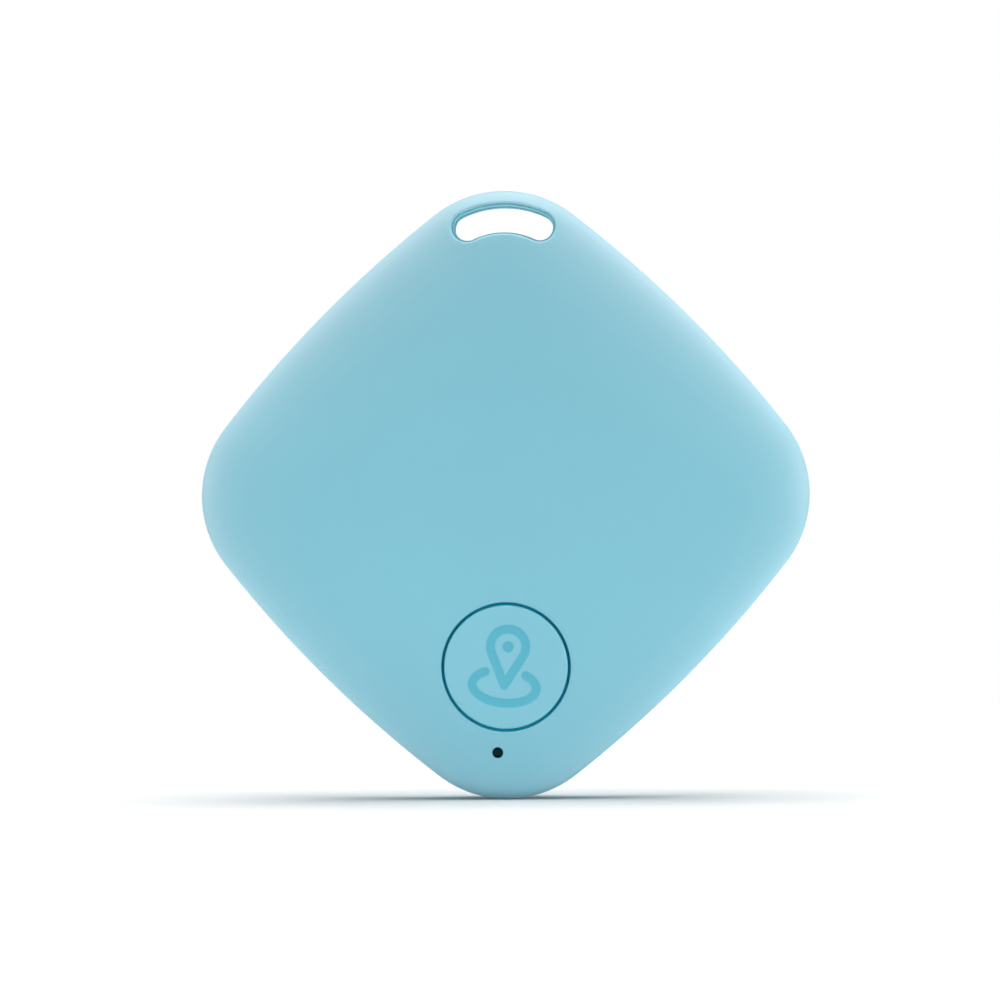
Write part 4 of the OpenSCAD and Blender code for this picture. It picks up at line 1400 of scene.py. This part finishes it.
front_cover()
rear_cover()
button()
circuit_board()
screws()
chip()
crystal("main_crystal", "radio_crystal", "crystal_can")
crystal("clock_crystal", "clock_crystal_can", "clock_can")
antenna()
small_parts("capacitors", "capacitor_row", "capacitor_tan", False)
small_parts("resistors", "resistor_row", "resistor_black", True)
driver()
coil()
led()
snap_dome()
cell_can()
positive_contact()
for name, width in {
    "cell_holder": 0.09,
    "negative_contact": 0.04,
    "cell_cap": 0.08,
    "cell_seal": 0.05,
    "foam_pad": 0.05,
    "switch_base": 0.08,
    "switch_plate": 0.03,
    "switch_stem": 0.05,
    "buzzer_plate": 0.03,
    "buzzer_ceramic": 0.03,
    "solder_joints": 0.12,
}.items():
    softened(name, width)
rounded("buzzer_wire_red")
rounded("buzzer_wire_black")

slot_of = {p["node"]: p["material_slot"] for p in frame["record"]["subparts"]}
for name, node in frame["nodes"].items():
    node.data.materials.clear()
    node.data.materials.append(finish_of[slot_of[name]])

# ---- floor, light and camera ----

FLOOR_R = 170.0


def floor():
    """A round sheet of pale card that the tag stands on."""
    mesh = bpy.data.meshes.new("floor")
    rim = circle(MIDDLE_X, 0, FLOOR_R, 128)
    mesh.from_pydata([(x * MM, y * MM, cad_low.z) for x, y in rim], [], [range(len(rim))])
    made = shown("floor", mesh)
    f = Finish("floor_white", Roughness=0.9, Specular_IOR_Level=0.1)
    paper = f.noise(0.2, 2, 0.5)
    mesh.materials.append(f.drive(Base_Color=f.mix(paper, colour(0.76, 0.76, 0.76), colour(0.8, 0.8, 0.8))))


def lamp(name, kind, at, energy, **settings):
    """A light at a place in mm from the middle of the tag, which shines towards that middle."""
    data = bpy.data.lights.new(name, kind)
    data.energy = energy
    for key, value in settings.items():
        setattr(data, key, value)
    made = shown(name, data)
    middle = Vector((MIDDLE_X, 0, MIDDLE_Y))
    made.location = (middle + Vector(at)) * MM
    made.rotation_euler = (Vector() - Vector(at)).to_track_quat("-Z", "Y").to_euler()


def world():
    """White behind everything as the camera sees it. It lights nothing, which is left to the lamps."""
    made = bpy.data.worlds.new("studio")
    bpy.context.scene.world = made
    made.use_nodes = True
    tree = made.node_tree
    tree.nodes.clear()
    output = tree.nodes.new("ShaderNodeOutputWorld")
    mix = tree.nodes.new("ShaderNodeMixShader")
    path = tree.nodes.new("ShaderNodeLightPath")
    seen = tree.nodes.new("ShaderNodeBackground")
    seen.inputs["Color"].default_value = (1, 1, 1, 1)
    glow = tree.nodes.new("ShaderNodeBackground")
    glow.inputs["Color"].default_value = (1, 1, 1, 1)
    glow.inputs["Strength"].default_value = 0.0
    tree.links.new(path.outputs["Is Camera Ray"], mix.inputs[0])
    tree.links.new(glow.outputs[0], mix.inputs[1])
    tree.links.new(seen.outputs[0], mix.inputs[2])
    tree.links.new(mix.outputs[0], output.inputs["Surface"])


CAMERA_AWAY = 400.0
CAMERA_YAW = 1.2
CAMERA_ROLL = -0.4
CAMERA_AIM = (-0.42, -0.36)
LENS = 202.9


def camera():
    """A long lens in front of the tag and a little to its right."""
    yaw = math.radians(CAMERA_YAW)
    aim = Vector((MIDDLE_X + CAMERA_AIM[0], 0, MIDDLE_Y + CAMERA_AIM[1])) * MM
    back = Vector((math.sin(yaw), -math.cos(yaw), 0))
    data = bpy.data.cameras.new("camera")
    data.sensor_width = 36
    data.lens = LENS
    data.clip_start = 0.01
    data.clip_end = 10
    made = shown("camera", data)
    made.location = aim + back * CAMERA_AWAY * MM
    turn = (-back).to_track_quat("-Z", "Y")
    made.rotation_mode = "QUATERNION"
    made.rotation_quaternion = turn @ Euler((0, 0, math.radians(CAMERA_ROLL))).to_quaternion()
    bpy.context.scene.camera = made


floor()
world()
camera()
lamp("overhead", "SUN", (0, 0, 300), 3.45, angle=math.radians(56))
for name, at, energy, wide, deep in (
    ("front", (0, -650, 40), 1.3, 0.7, 0.12),
    ("right", (450, -40, 45), 1.25, 0.5, 0.12),
    ("left", (-450, -40, 45), 0.82, 0.5, 0.12),
    ("top_back", (0, 250, 430), 0.65, 0.8, 0.4),
):
    lamp(name, "AREA", at, energy, shape="RECTANGLE", size=wide, size_y=deep)
bpy.context.scene.view_settings.view_transform = "Standard"
bpy.context.scene.view_settings.look = "None"
